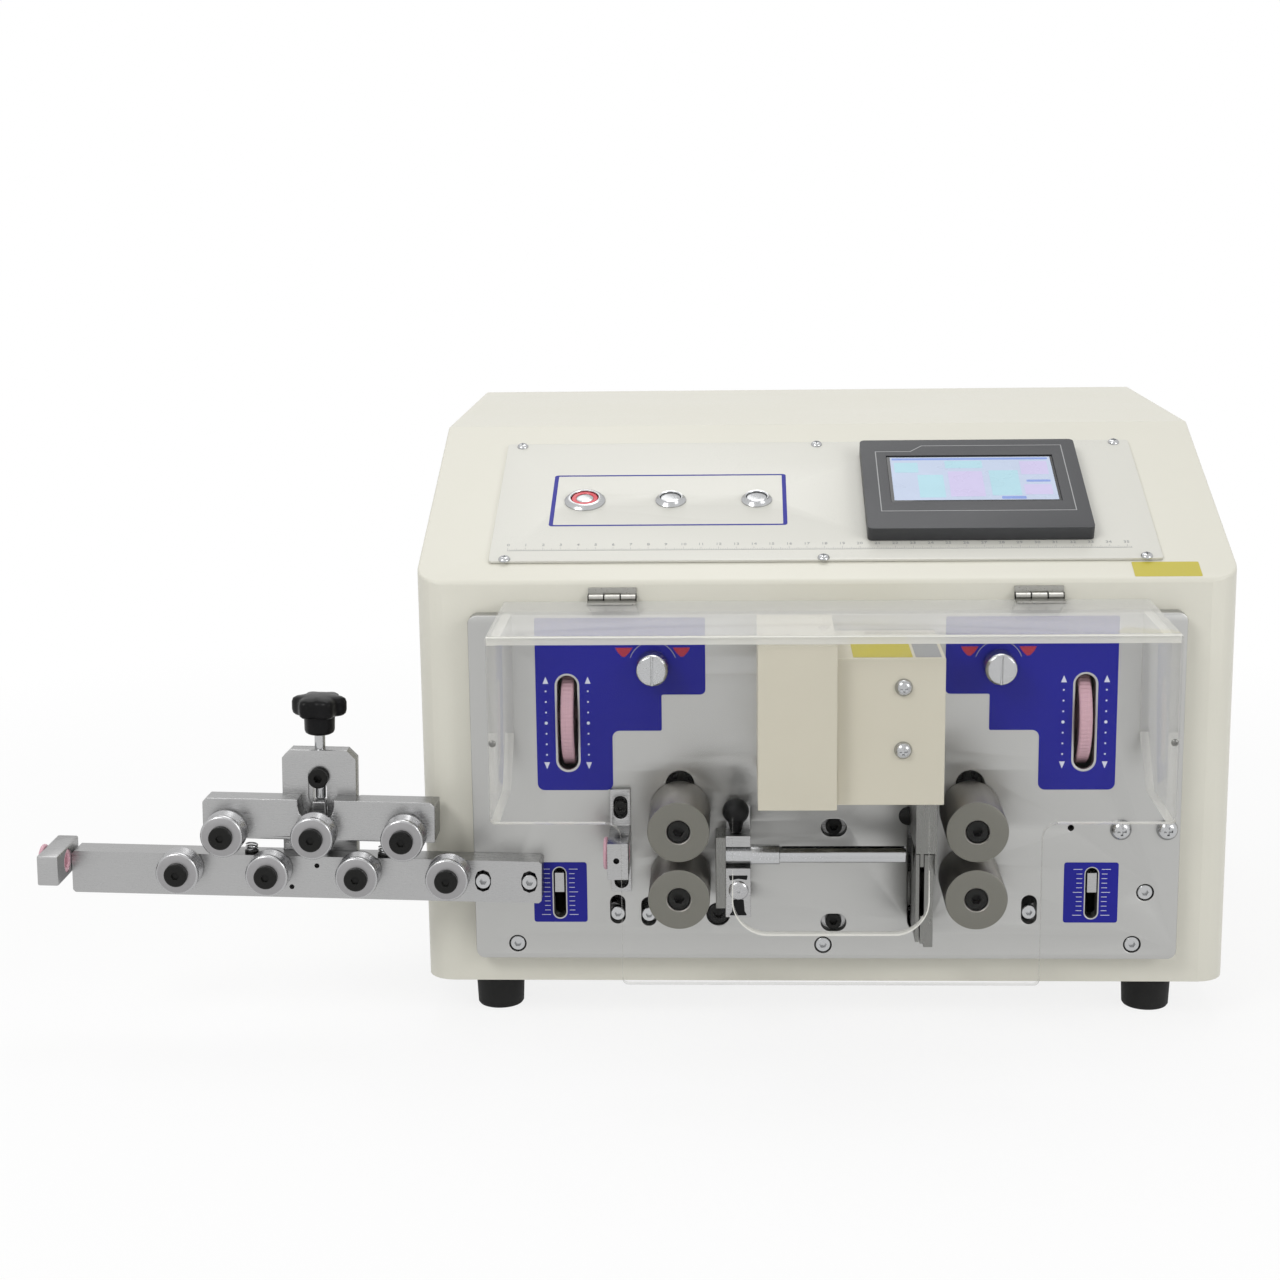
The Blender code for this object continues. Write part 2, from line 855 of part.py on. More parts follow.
def make_control_panel():
    """Thin panel on the slope with the buttons' rings and barrels, and the touch screen."""
    half_x = screen_body[0] / 2 + gap
    half_y = screen_body[1] / 2 + gap
    opening = rectangle(
        (screen_centre[0] - half_x, screen_centre[1] - half_y),
        (screen_centre[0] + half_x, screen_centre[1] + half_y),
    )
    outline = rectangle(
        (-panel_width / 2, panel_low), (panel_width / 2, panel_high), panel_corner
    )
    bores = [
        circle(x, button_line, (cap + barrel) / 2) for x, _, barrel, cap in button_sizes.values()
    ]
    top = gap + panel_thickness
    panel = plate(
        "control_panel", outline, gap, top, "XY", panel_film, slope, (opening, *bores)
    )
    for label, (x, ring, barrel, cap) in button_sizes.items():
        bore = cap + gap
        sleeve = turned(
            label + "_ring",
            [
                (bore, top + ring_height),
                (bore + ring_rim, top + ring_height),
                (ring, top + ring_rim),
                (ring, top - panel_thickness / 2),
                (barrel, top - panel_thickness / 2),
                (barrel, -barrel_length),
                (bore, -barrel_length),
            ],
            (x, button_line, 0),
            (0, 0, 1),
            parent=slope,
            ring=True,
        )
        join(panel, sleeve)
        crown = top + ring_height - cap_sink
        turned(
            label + "_button",
            [
                (0, crown),
                (cap * 0.6, crown - cap_dome / 4),
                (cap, crown - cap_dome),
                (cap, cap_inset - barrel_length),
                (0, cap_inset - barrel_length),
            ],
            (x, button_line, 0),
            (0, 0, 1),
            bright_steel,
            slope,
        )
    make_touch_screen(top + gap)


def make_touch_screen(seat):
    """Touch screen: a bezel on the panel and a housing through it."""
    x, y = screen_centre
    bezel = plate(
        "touch_screen",
        rectangle(
            (x - screen_size[0] / 2, y - screen_size[1] / 2),
            (x + screen_size[0] / 2, y + screen_size[1] / 2),
            screen_corner,
            4,
        ),
        seat,
        seat + screen_rise,
        "XY",
        dark_bezel,
        slope,
    )
    soften(bezel, screen_edge, 2, 45)
    housing = box(
        "screen_housing",
        (x - screen_body[0] / 2, y - screen_body[1] / 2, -screen_depth),
        (x + screen_body[0] / 2, y + screen_body[1] / 2, seat + screen_rise / 2),
        parent=slope,
    )
    join(bezel, housing)
    view_y = y + screen_view_shift
    floor = seat + screen_rise - screen_recess_depth
    recess = box(
        "screen_recess",
        (x - screen_view[0] / 2, view_y - screen_view[1] / 2, floor),
        (x + screen_view[0] / 2, view_y + screen_view[1] / 2, seat + screen_rise + edge),
        parent=slope,
    )
    cut(bezel, recess)


def make_cover():
    """Clear safety cover: top, front with a window and a skirt, and two cheeks."""
    half = cover_width / 2
    skirt = cover_skirt_width / 2
    rim = cover_rim
    corner = cover_corner
    outline = filleted(
        [
            (-half, cover_wing_low, corner),
            (-skirt, cover_wing_low, rim),
            (-skirt, cover_skirt_low, corner),
            (skirt, cover_skirt_low, corner),
            (skirt, cover_wing_low, rim),
            (half, cover_wing_low, corner),
            (half, cover_top, 0),
            (-half, cover_top, 0),
        ],
        corner,
        4,
    )
    window = filleted(
        [
            (-window_half_width, window_low, window_radius),
            (window_half_width, window_low, window_radius),
            (window_half_width, window_high, corner),
            (-window_half_width, window_high, corner),
        ],
        corner,
        6,
    )
    front_y = -cover_reach
    inner_y = front_y + cover_sheet
    cover = plate("safety_cover", outline, front_y, inner_y, "XZ", clear_acrylic, holes=(window,))
    pivot_on(cover, (0, hinge_axis_y, hinge_axis_z))
    lid = box(
        "cover_lid",
        (-half, front_y + cover_sheet / 2, cover_top - cover_sheet),
        (half, -edge, cover_top),
    )
    join(cover, lid)
    cheek = [
        (front_y + cover_sheet / 2, cover_wing_low),
        (-cover_side_corner[0], cover_wing_low),
        (on_plate - gap, cover_side_corner[1]),
        (on_plate - gap, cover_top - cover_sheet / 2),
        (front_y + cover_sheet / 2, cover_top - cover_sheet / 2),
    ]
    for side in (-1, 1):
        near, far = sorted((side * half, side * (half - cover_sheet)))
        join(cover, plate(f"cover_cheek_{side}", cheek, near, far, "YZ"))


def make_hinge(label, x):
    """Butt hinge: a leaf on the casing and a leaf on the cover, on one pin."""
    half = hinge_width / 2
    third = hinge_width / 6
    axis = (hinge_axis_y, hinge_axis_z)
    leaf_low = hinge_axis_z + knuckle_radius + gap
    fixed = box(
        "hinge_fixed_leaf_" + label,
        (x - half, -gap - leaf, leaf_low),
        (x + half, -gap, hinge_axis_z + leaf_height),
        chrome,
    )
    pivot_on(fixed, (x, *axis))
    moving = box(
        "hinge_moving_leaf_" + label,
        (x - half, hinge_axis_y - leaf_reach, cover_top + gap),
        (x + half, hinge_axis_y - knuckle_radius - gap, cover_top + gap + leaf),
        chrome,
    )
    pivot_on(moving, (x, *axis))
    for number, (start, end) in enumerate(((-half, -third), (third, half))):
        tube = rod(
            f"hinge_outer_knuckle_{label}_{number}",
            knuckle_radius,
            (x + start, *axis),
            (x + end, *axis),
            sides=10,
        )
        join(fixed, tube)
        web = box(
            f"hinge_web_{label}_{number}",
            (x + start, hinge_axis_y, hinge_axis_z - leaf / 2),
            (x + end, -gap - leaf / 2, hinge_axis_z + leaf / 2),
        )
        strip = box(
            f"hinge_strip_{label}_{number}",
            (x + start, -gap - leaf, hinge_axis_z - leaf / 2),
            (x + end, -gap, leaf_low + leaf / 2),
        )
        join(fixed, web, strip)
    pin = rod(
        "hinge_pin_" + label,
        hinge_pin_radius,
        (x - half + edge, *axis),
        (x + half - edge, *axis),
        sides=8,
    )
    join(fixed, pin)
    barrel = rod(
        "hinge_inner_knuckle_" + label,
        knuckle_radius,
        (x - third + gap, *axis),
        (x + third - gap, *axis),
        sides=10,
    )
    bridge = box(
        "hinge_bridge_" + label,
        (x - third + gap, hinge_axis_y - knuckle_radius - edge, cover_top + gap),
        (x + third - gap, hinge_axis_y, cover_top + gap + leaf),
    )
    join(moving, barrel, bridge)
    bore = rod(
        "hinge_bore_" + label,
        hinge_pin_radius + gap,
        (x - half, *axis),
        (x + half, *axis),
        sides=8,
    )
    cut(moving, bore)


def gear_outline(x, z, phase):
    """Outline of a coarse gear; one tooth points to the phase angle."""
    pitch = 2 * math.pi / gear_teeth
    shape = (
        (gear_root_radius, -0.33),
        (gear_tip_radius, -0.12),
        (gear_tip_radius, 0.12),
        (gear_root_radius, 0.33),
    )
    points = []
    for tooth in range(gear_teeth):
        for radius, share in shape:
            angle = phase + (tooth + share) * pitch
            points.append((x + radius * math.cos(angle), z + radius * math.sin(angle)))
    return points


def make_feed_roller(name, side, z, shaft_end, phase):
    """Feed roller with its shaft and gear; its front has a deep bore for the clamping screw."""
    x = side * roller_x
    front = shaft_end - roller_front
    back = shaft_end - (on_plate - gap)
    roller = turned(
        name,
        [
            (0, front - roller_recess),
            (roller_bore, front - roller_recess),
            (roller_bore, front),
            (roller_radius - roller_bevel, front),
            (roller_radius, front - roller_bevel),
            (roller_radius, back),
            (shaft_radius, back),
            (shaft_radius, 0),
            (0, 0),
        ],
        (x, shaft_end, z),
        (0, -1, 0),
        roller_steel,
        sides=20,
    )
    gear = plate(
        name + "_gear",
        gear_outline(x, z, phase),
        gear_front,
        gear_front + gear_width,
        "XZ",
    )
    join(roller, gear)


def make_feed(label, side):
    """One pair of feed rollers, the upper one's lifting arm, thumb wheel and pressure knob."""
    tooth_down = -math.pi / 2
    gap_up = math.pi / 2 + math.pi / gear_teeth
    upper_end = arm_plate_y[1] + shaft_tail
    lower_end = bearing_y[1] + gap + shaft_into_motor
    make_feed_roller("feed_roller_upper_" + label, side, upper_roller_z, upper_end, tooth_down)
    make_feed_roller("feed_roller_lower_" + label, side, lower_roller_z, lower_end, gap_up)
    make_lift_arm(label, side)
    make_thumb_wheel(label, side)
    front = plate_front - pressure_length - edge
    grip = pressure_edge
    slit_width, slit_depth = pressure_slit
    knob = turned(
        "pressure_knob_" + label,
        [
            (0, pressure_shaft_end - front),
            (pressure_radius - grip, pressure_shaft_end - front),
            (pressure_radius, pressure_shaft_end - front - grip),
            (pressure_radius, pressure_shaft_end - plate_front + edge + grip),
            (pressure_radius - grip, pressure_shaft_end - plate_front + edge),
            (thumb_shaft_radius, pressure_shaft_end - plate_front + edge),
            (thumb_shaft_radius, pressure_shaft_end - collar_y[0]),
            (collar_radius, pressure_shaft_end - collar_y[0]),
            (collar_radius, pressure_shaft_end - collar_y[1]),
            (thumb_shaft_radius, pressure_shaft_end - collar_y[1]),
            (thumb_shaft_radius, 0),
            (0, 0),
        ],
        (side * pressure_x, pressure_shaft_end, pressure_z),
        (0, -1, 0),
        bright_steel,
    )
    slit = box(
        "pressure_slit_" + label,
        (
            side * pressure_x - slit_width / 2,
            front - edge,
            pressure_z - pressure_radius - edge,
        ),
        (
            side * pressure_x + slit_width / 2,
            front + slit_depth,
            pressure_z + pressure_radius + edge,
        ),
    )
    cut(knob, slit)


def mirrored(points, side):
    """Outline on the right side, or its mirror image on the left."""
    if side > 0:
        return points
    return [(-x, y) for x, y in reversed(points)]


def make_lift_arm(label, side):
    """Arm that carries the upper roller: bearing block, hook over the cam and gap pointer."""
    low = upper_roller_z - arm_below
    high = upper_roller_z + arm_above
    wing_low = upper_roller_z - wing_below
    wing_high = upper_roller_z + wing_above
    inner = guide_pin_places[0] - arm_margin
    outer = cam_x[1] + hook_margin
    leg = pointer_slot_width / 2 - edge
    pointer_high = pointer_slot_high - pointer_drop
    pointer_low = pointer_high - pointer_height
    outline = [
        (inner, low),
        (outer, low),
        (outer, wing_low),
        (pointer_x - leg, wing_low),
        (pointer_x - leg, pointer_low),
        (pointer_x + leg, pointer_low),
        (pointer_x + leg, wing_high),
        (outer, wing_high),
        (outer, high),
        (inner, high),
    ]
    holes = [mirrored(circle(roller_x, upper_roller_z, shaft_hole, 20), side)]
    for x in guide_pin_places:
        reach = guide_pin_radius + gap
        slot = oblong(x, upper_roller_z - reach, upper_roller_z + reach + gap_travel, 2 * reach, 4)
        holes.append(mirrored(slot, side))
    arm_plate = plate(
        "lift_arm_" + label,
        mirrored(outline, side),
        *arm_plate_y,
        "XZ",
        satin_aluminium,
        holes=holes,
    )
    hook_low = thumb_centre_z + cam_radius + gap
    cam_back = thumb_centre_y + cam_radius + edge
    hook_x = sorted((side * (cam_x[0] - hook_margin), side * outer))
    riser = box(
        "riser_" + label,
        (hook_x[0], cam_back, high - bite),
        (hook_x[1], arm_plate_y[1], hook_low + hook_height),
    )
    hook = box(
        "hook_" + label,
        (hook_x[0], thumb_centre_y - cam_radius + 2 * hook_margin, hook_low),
        (hook_x[1], cam_back + bite, hook_low + hook_height),
    )
    finger_x = sorted((side * (pointer_x - leg), side * (pointer_x + leg)))
    finger = box(
        "pointer_" + label,
        (finger_x[0], plate_front - pointer_rise, pointer_low),
        (finger_x[1], arm_plate_y[0] + bite, pointer_high),
    )
    join(arm_plate, riser, hook, finger)


def make_thumb_wheel(label, side):
    """Thumb wheel, its shaft and the snail cam that sets the height of the lifting arm."""
    near, far = thumb_shaft_ends
    start = side * near
    wheel_near = thumb_x - thumb_width / 2 - near
    wheel_far = thumb_x + thumb_width / 2 - near
    wheel = turned(
        "thumb_wheel_" + label,
        [
            (0, far - near),
            (thumb_shaft_radius, far - near),
            (thumb_shaft_radius, wheel_far),
            (thumb_radius, wheel_far),
            (thumb_radius, wheel_near),
            (thumb_shaft_radius, wheel_near),
            (thumb_shaft_radius, 0),
            (0, 0),
        ],
        (start, thumb_centre_y, thumb_centre_z),
        (side, 0, 0),
        beige_nylon,
        sides=30,
    )
    fall = gap_travel / thumb_turn
    low_radius = cam_radius - fall * cam_run
    steps = 24
    outline = []
    for step in range(steps):
        angle = 2 * math.pi * step / steps
        if angle <= cam_run:
            radius = cam_radius - fall * angle
        else:
            share = (angle - cam_run) / (2 * math.pi - cam_run)
            radius = low_radius + (cam_radius - low_radius) * share
        outline.append(
            (
                thumb_centre_y + radius * math.sin(angle),
                thumb_centre_z + radius * math.cos(angle),
            )
        )
    low_x, high_x = sorted((side * cam_x[0], side * cam_x[1]))
    cam = plate("cam_" + label, outline[::-1], low_x, high_x, "YZ")
    join(wheel, cam)


def make_bearing_plate():
    """Rear bearing plate: two towers on a sill, pillars to the front plate and guide pins."""
    sill_low = base_thickness + gap
    outer = tower_x[1]
    inner_left = -tower_x[0]
    inner_right = tower_x[0]
    outline = [
        (-outer, sill_low),
        (outer, sill_low),
        (outer, tower_top),
        (inner_right, tower_top),
        (inner_right, sill_height),
        (inner_left, sill_height),
        (inner_left, tower_top),
        (-outer, tower_top),
    ]
    holes = [circle(side * roller_x, lower_roller_z, shaft_hole, 20) for side in (-1, 1)]
    body = plate("bearing_plate", outline, *bearing_y, "XZ", satin_aluminium, holes=holes)
    for side in (-1, 1):
        for number, (x, z) in enumerate(pillar_places):
            pillar = rod(
                f"pillar_{side}_{number}",
                pillar_radius,
                (side * x, 0, z),
                (side * x, bearing_y[0] + bite, z),
                sides=12,
            )
            join(body, pillar)
        for number, x in enumerate(guide_pin_places):
            pin = rod(
                f"guide_pin_{side}_{number}",
                guide_pin_radius,
                (side * x, arm_plate_y[0] - shaft_tail, upper_roller_z),
                (side * x, bearing_y[0] + bite, upper_roller_z),
                sides=10,
            )
            join(body, pin)


def make_motor(name, centre, front, axis, hole_radius, hole_depth):
    """Square stepping motor with end caps; its front face has a hole for the driven shaft."""
    half = motor_size / 2
    cap = motor_cap
    along = Vector(axis)
    waist = half - motor_waist
    middle = Vector(centre) + along * front
    corners = filleted(
        [(-half, -half), (half, -half), (half, half), (-half, half)], motor_corner, 1
    )
    core = filleted(
        [(-waist, -waist), (waist, -waist), (waist, waist), (-waist, waist)],
        motor_corner + motor_waist,
        1,
    )
    plane = "XZ" if abs(along.y) > 0.5 else "XY"
    offset = (middle.x, middle.z) if plane == "XZ" else (middle.x, middle.y)
    depth = middle.y if plane == "XZ" else middle.z

    def slab(label, shape, near, far, finish=None):
        moved = [(x + offset[0], y + offset[1]) for x, y in shape]
        return plate(label, moved, depth + near, depth + far, plane, finish)

    body = slab(name, corners, 0, cap, black_steel)
    join(body, slab(name + "_stack", core, cap - bite, motor_length - cap + bite))
    join(body, slab(name + "_rear", corners, motor_length - cap, motor_length))
    hole = rod(
        name + "_hole", hole_radius, middle - along * edge, middle + along * hole_depth
    )
    cut(body, hole)


def make_cutter():
    """Cutter head: frame with a rail, two-handed screw, two nut blocks and the blades."""
    low_x, high_x = frame_x
    low_z, high_z = frame_z
    back_y, rear_y = frame_back_y
    side_view = [
        (0, low_z),
        (rear_y, low_z),
        (rear_y, high_z),
        (0, high_z),
        (0, high_z - frame_sheet),
        (back_y, high_z - frame_sheet),
        (back_y, low_z + frame_sheet),
        (0, low_z + frame_sheet),
    ]
    frame = plate("cutter_frame", side_view, low_x, high_x, "YZ", satin_aluminium)
    rail = box(
        "rail",
        (screw_x - rail_half_width, back_y - rail_depth, low_z + frame_sheet / 2),
        (screw_x + rail_half_width, back_y + bite, high_z - frame_sheet / 2),
    )
    join(frame, rail)
    bore = rod(
        "screw_bearings",
        screw_radius + gap,
        (screw_x, screw_y, low_z - edge),
        (screw_x, screw_y, high_z + edge),
    )
    cut(frame, bore)
    foot = low_z + screw_foot
    top = high_z + gap + screw_into_motor
    neck = screw_neck
    turned(
        "cutter_screw",
        [
            (0, top - foot),
            (screw_radius - neck, top - foot),
            (screw_radius, top - foot - neck),
            (screw_radius, neck),
            (screw_radius - neck, 0),
            (0, 0),
        ],
        (screw_x, screw_y, foot),
        (0, 0, 1),
        bright_steel,
    )
    make_motor(
        "cutter_motor",
        (screw_x, screw_y, 0),
        high_z + gap,
        (0, 0, 1),
        screw_radius + edge,
        screw_into_motor + edge,
    )
    make_upper_holder()
    make_lower_holder()


def nut_block(name, low_z):
    """Nut block that rides on the rail and the screw."""
    body = box(
        name,
        (frame_x[0] + nut_side_inset, nut_y, low_z),
        (bar_x[1] - arm_side_inset, frame_back_y[0] - gap, low_z + nut_height),
        satin_aluminium,
    )
    groove = box(
        name + "_groove",
        (
            screw_x - rail_half_width - gap,
            frame_back_y[0] - rail_depth - gap,
            low_z - edge,
        ),
        (
            screw_x + rail_half_width + gap,
            frame_back_y[0] + edge,
            low_z + nut_height + edge,
        ),
    )
    bore = rod(
        name + "_bore",
        screw_radius + gap,
        (screw_x, screw_y, low_z - edge),
        (screw_x, screw_y, low_z + nut_height + edge),
    )
    cut(body, groove, bore)
    return body


def make_upper_holder():
    """Upper holder: nut block, arm through the plate and the bar that clamps the upper blade."""
    body = nut_block("upper_blade_holder", upper_arm_z[0] - nut_below_arm)
    arm_bar = box(
        "upper_arm",
        (bar_x[0] + edge, bar_back - bite, upper_arm_z[0]),
        (bar_x[1] - arm_side_inset, nut_y + bite, upper_arm_z[1]),
    )
    bar = box("upper_bar", (bar_x[0], bar_front, bar_z[0]), (bar_x[1], bar_back, bar_z[1]))
    tooth = box(
        "upper_tooth",
        (bar_x[1] - tooth_size[0], bar_front, bar_z[0] - tooth_size[2]),
        (bar_x[1], bar_front + tooth_size[1], bar_z[0] + bite),
    )
    join(body, arm_bar, bar, tooth)
    pocket_top = bar_z[0] + pocket_height
    pocket = box(
        "blade_pocket",
        (lower_blade_x[0] - gap, blade_y[0] - gap, bar_z[0] - edge),
        (upright_x[1] + gap, bar_back + edge, pocket_top),
    )
    cut(body, pocket)
    blade_top = pocket_top - gap
    apex = wire_line + cut_travel
    tips = apex - notch_depth + upper_notch_inset
    middle = sum(blade_y) / 2
    outline = [
        (blade_y[0], tips),
        (middle - notch_half_width, tips),
        (middle, apex),
        (middle + notch_half_width, tips),
        (blade_y[1], tips),
        (blade_y[1], blade_top),
        (blade_y[0], blade_top),
    ]
    plate("upper_blade", outline, *upper_blade_x, "YZ", bright_steel)


def make_lower_holder():
    """Lower holder: nut block, arm through the plate, upright and the lower blade."""
    body = nut_block("lower_blade_holder", lower_arm_z[0] - nut_below_arm)
    arm_bar = box(
        "lower_arm",
        (lower_arm_x[0], blade_y[0], lower_arm_z[0]),
        (lower_arm_x[1] - nut_side_inset, nut_y + bite, lower_arm_z[1]),
    )
    apex = wire_line - cut_travel
    middle = sum(blade_y) / 2
    foot = lower_arm_z[0] - bite

    def notched(low):
        return [
            (blade_y[0], low),
            (blade_y[1], low),
            (blade_y[1], blade_tip),
            (middle + notch_half_width, blade_tip),
            (middle, apex),
            (middle - notch_half_width, blade_tip),
            (blade_y[0], blade_tip),
        ]

    upright = plate("upright", notched(foot), *upright_x, "YZ")
    join(body, arm_bar, upright)
    blade_foot = lower_arm_z[0] + arm_side_inset
    plate("lower_blade", notched(blade_foot), *lower_blade_x, "YZ", bright_steel)


def make_guard(name, corner, extent):
    """Guard box of thin sheet, open towards the plate and below."""
    low = Vector(corner)
    high = Vector((extent[0], on_plate, extent[1]))
    body = box(name, low, high, cream_paint)
    model = bmesh.new()
    model.from_mesh(body.data)
    openings = [face for face in model.faces if face.normal.y > 0.5 or face.normal.z < -0.5]
    bmesh.ops.delete(model, geom=openings, context="FACES")
    model.to_mesh(body.data)
    model.free()
    shell = body.modifiers.new("sheet", "SOLIDIFY")
    shell.thickness = guard_sheet
    shell.offset = -1
    shell.use_even_offset = True


def make_swing_pipe():
    """Pipe that leads the wire to the blades, its clamp block, pivot pin and clamp knob."""
    low_x, high_x = pipe_block_x
    block = box(
        "swing_pipe",
        (low_x, pipe_block_y[0], pipe_block_z[0]),
        (high_x, pipe_block_y[1], pipe_block_z[1]),
        satin_aluminium,
    )
    pivot_on(block, (pipe_pivot[0], 0, pipe_pivot[1]))
    soften(block, pipe_block_edge)
    tube = turned(
        "pipe_tube",
        [
            (0, pipe_ends[1] - pipe_ends[0]),
            (pipe_nose_radius, pipe_ends[1] - pipe_ends[0]),
            (pipe_nose_radius, pipe_step_x - pipe_ends[0]),
            (pipe_radius, pipe_step_x - pipe_ends[0]),
            (pipe_radius, 0),
            (0, 0),
        ],
        (pipe_ends[0], wire_y, wire_line),
        (1, 0, 0),
    )
    cheek = box(
        "pipe_cheek",
        (pipe_cheek_x, pipe_block_y[0], pipe_block_z[0] - pipe_cheek_below),
        (low_x + pipe_block_edge + edge, pipe_block_y[1], pipe_block_z[1] + pipe_cheek_above),
    )
    lug = box(
        "pipe_lug",
        (low_x + edge, pipe_lug_y[0], pipe_lug_z[0]),
        (high_x - edge, pipe_lug_y[1], pipe_lug_z[1]),
    )
    pivot_x, pivot_z = pipe_pivot
    pin = rod(
        "pipe_pin",
        pipe_pin_radius,
        (pivot_x, pipe_lug_y[0] + bite, pivot_z),
        (pivot_x, pipe_pin_end, pivot_z),
    )
    collar = rod(
        "pipe_collar",
        collar_radius,
        (pivot_x, collar_y[0], pivot_z),
        (pivot_x, collar_y[1], pivot_z),
    )
    join(block, tube, cheek, lug, pin, collar)
    bore = rod(
        "pipe_bore",
        pipe_bore_radius,
        (pipe_cheek_x - edge, wire_y, wire_line),
        (pipe_ends[1] + edge, wire_y, wire_line),
    )
    trough = box(
        "pipe_trough",
        (
            pipe_step_x + pipe_trough_start,
            wire_y - pipe_trough_width / 2,
            wire_line - pipe_trough_below,
        ),
        (pipe_ends[1] + edge, wire_y + pipe_trough_width / 2, wire_line + pipe_radius),
    )
    cut(block, trough, bore)
    knob_x = sum(pipe_block_x) / 2
    neck_base = pipe_block_z[1] + gap
    centre = clamp_knob_z - neck_base
    profile = []
    rings = 6
    for step in range(rings + 1):
        angle = math.pi / 2 - step * math.radians(150) / rings
        profile.append(
            (
                max(0.0, clamp_knob_radius * math.cos(angle)),
                centre + clamp_knob_radius * math.sin(angle),
            )
        )
    neck = clamp_neck_radius
    profile += [(neck, profile[-1][1] - clamp_neck_step), (neck, 0), (0, 0)]
    turned(
        "pipe_clamp_knob",
        profile,
        (knob_x, wire_y, neck_base),
        (0, 0, 1),
        black_plastic,
    )


def make_eyelet(name, left, right, y, z, parent):
    """Ceramic eyelet along X with a flange at its left end and a flared mouth."""
    flare = eyelet_flare
    length = right - left
    turned(
        name,
        [
            (eyelet_hole_radius, length - flare),
            (eyelet_hole_radius + flare, length),
            (eyelet_body_radius, length),
            (eyelet_body_radius, eyelet_flange),
            (eyelet_flange_radius, eyelet_flange - edge),
            (eyelet_flange_radius, edge),
            (eyelet_flange_radius - edge, 0),
            (eyelet_hole_radius + flare, 0),
            (eyelet_hole_radius, flare),
        ],
        (left, y, z),
        (1, 0, 0),
        pink_ceramic,
        parent,
        ring=True,
    )


def make_inlet_guide():
    """Inlet guide: foot on the front plate, block and eyelet."""
    low_x, high_x = inlet_x
    body = box(
        "inlet_guide",
        (low_x, on_plate - inlet_foot, inlet_foot_z[0]),
        (high_x, on_plate, inlet_foot_z[1]),
        satin_aluminium,
    )
    block = box(
        "inlet_block",
        (low_x, inlet_front, inlet_block_z[0]),
        (high_x, on_plate - inlet_foot / 2, inlet_block_z[1]),
    )
    soften(block, edge)
    join(body, block)
    middle_z = sum(inlet_block_z) / 2
    bore = rod(
        "inlet_bore",
        eyelet_body_radius + gap,
        (low_x - edge, wire_y, middle_z),
        (high_x + edge, wire_y, middle_z),
    )
    cut(body, bore)
    make_eyelet(
        "inlet_eyelet", low_x - gap - eyelet_flange, high_x, wire_y, middle_z, machine
    )


def wheel_pins(body, places, height):
    """Shoulder screws that carry straightener wheels, joined to their bar."""
    for number, along in enumerate(places):
        front = wheel_head_front
        pin = turned(
            f"{body.name}_pin_{number}",
            [
                (0, bar_front_y + bite - front),
                (wheel_pin_radius, bar_front_y + bite - front),
                (wheel_pin_radius, wheel_front - gap - front),
                (wheel_head_radius, wheel_front - gap - front),
                (wheel_head_radius, 0),
                (0, 0),
            ],
            (along, front, height),
            (0, 1, 0),
            parent=arm,
            sides=10,
        )
        join(body, pin)


def make_wheel(name, along, height):
    """Grooved straightener wheel on its shoulder screw."""
    back = bar_front_y - 2 * gap
    width = back - wheel_front
    rim = wheel_rim
    bore = wheel_pin_radius + gap
    turned(
        name,
        [
            (bore, width),
            (wheel_radius, width),
            (wheel_radius, width - rim),
            (wheel_groove_radius, width / 2),
            (wheel_radius, rim),
            (wheel_radius, 0),
            (bore, 0),
        ],
        (along, wheel_front, height),
        (0, 1, 0),
        satin_aluminium,
        arm,
        ring=True,
    )


def make_straightener():
    """Wire straightener: bar, bracket, sliding carriage, wheels, star knob and end block."""
    lower = [lower_wheel_start - number * wheel_pitch for number in range(4)]
    upper = [upper_wheel_start - number * wheel_pitch for number in range(3)]
    holes = [
        oblong(along, -arm_slot_height / 2, arm_slot_height / 2, arm_slot_width, 4)
        for along in arm_slot_places
    ]
    holes += [circle(along, height, bar_hole_radius, 8) for along, height in bar_holes]
    outline = rectangle(
        (bar_ends[0], bar_heights[0]), (bar_ends[1], bar_heights[1]), bar_corner, 1
    )
    bar = plate(
        "straightener_bar",
        outline,
        bar_front_y,
        bar_back_y,
        "XZ",
        satin_aluminium,
        arm,
        holes,
    )
    half = bracket_width / 2
    pocket = box(
        "bracket_seat",
        (bracket_middle - half - gap, bracket_front_y - gap, bar_heights[0] - edge),
        (bracket_middle + half + gap, bar_back_y + edge, bar_heights[1] + edge),
        parent=arm,
    )
    cut(bar, pocket)
    wheel_pins(bar, lower, lower_wheel_height)
    for number, along in enumerate(reversed(lower)):
        make_wheel(f"lower_wheel_{number + 1}", along, lower_wheel_height)
    for number, along in enumerate(reversed(upper)):
        make_wheel(f"upper_wheel_{number + 1}", along, upper_wheel_height)
    make_bracket(half)
    make_carriage(half, upper)
    make_star_knob()
    end_block = box(
        "arm_eyelet_block",
        (end_block_ends[0], end_block_front, end_block_heights[0]),
        (end_block_ends[1], bar_back_y, end_block_heights[1]),
        satin_aluminium,
        arm,
    )
    soften(end_block, end_block_edge)
    bore = rod(
        "arm_eyelet_bore",
        eyelet_body_radius + gap,
        (end_block_ends[0] - edge, wire_y, end_eyelet_height),
        (end_block_ends[1] + edge, wire_y, end_eyelet_height),
        parent=arm,
    )
    cut(end_block, bore)
    make_eyelet("arm_eyelet", eyelet_left, end_block_ends[1], wire_y, end_eyelet_height, arm)


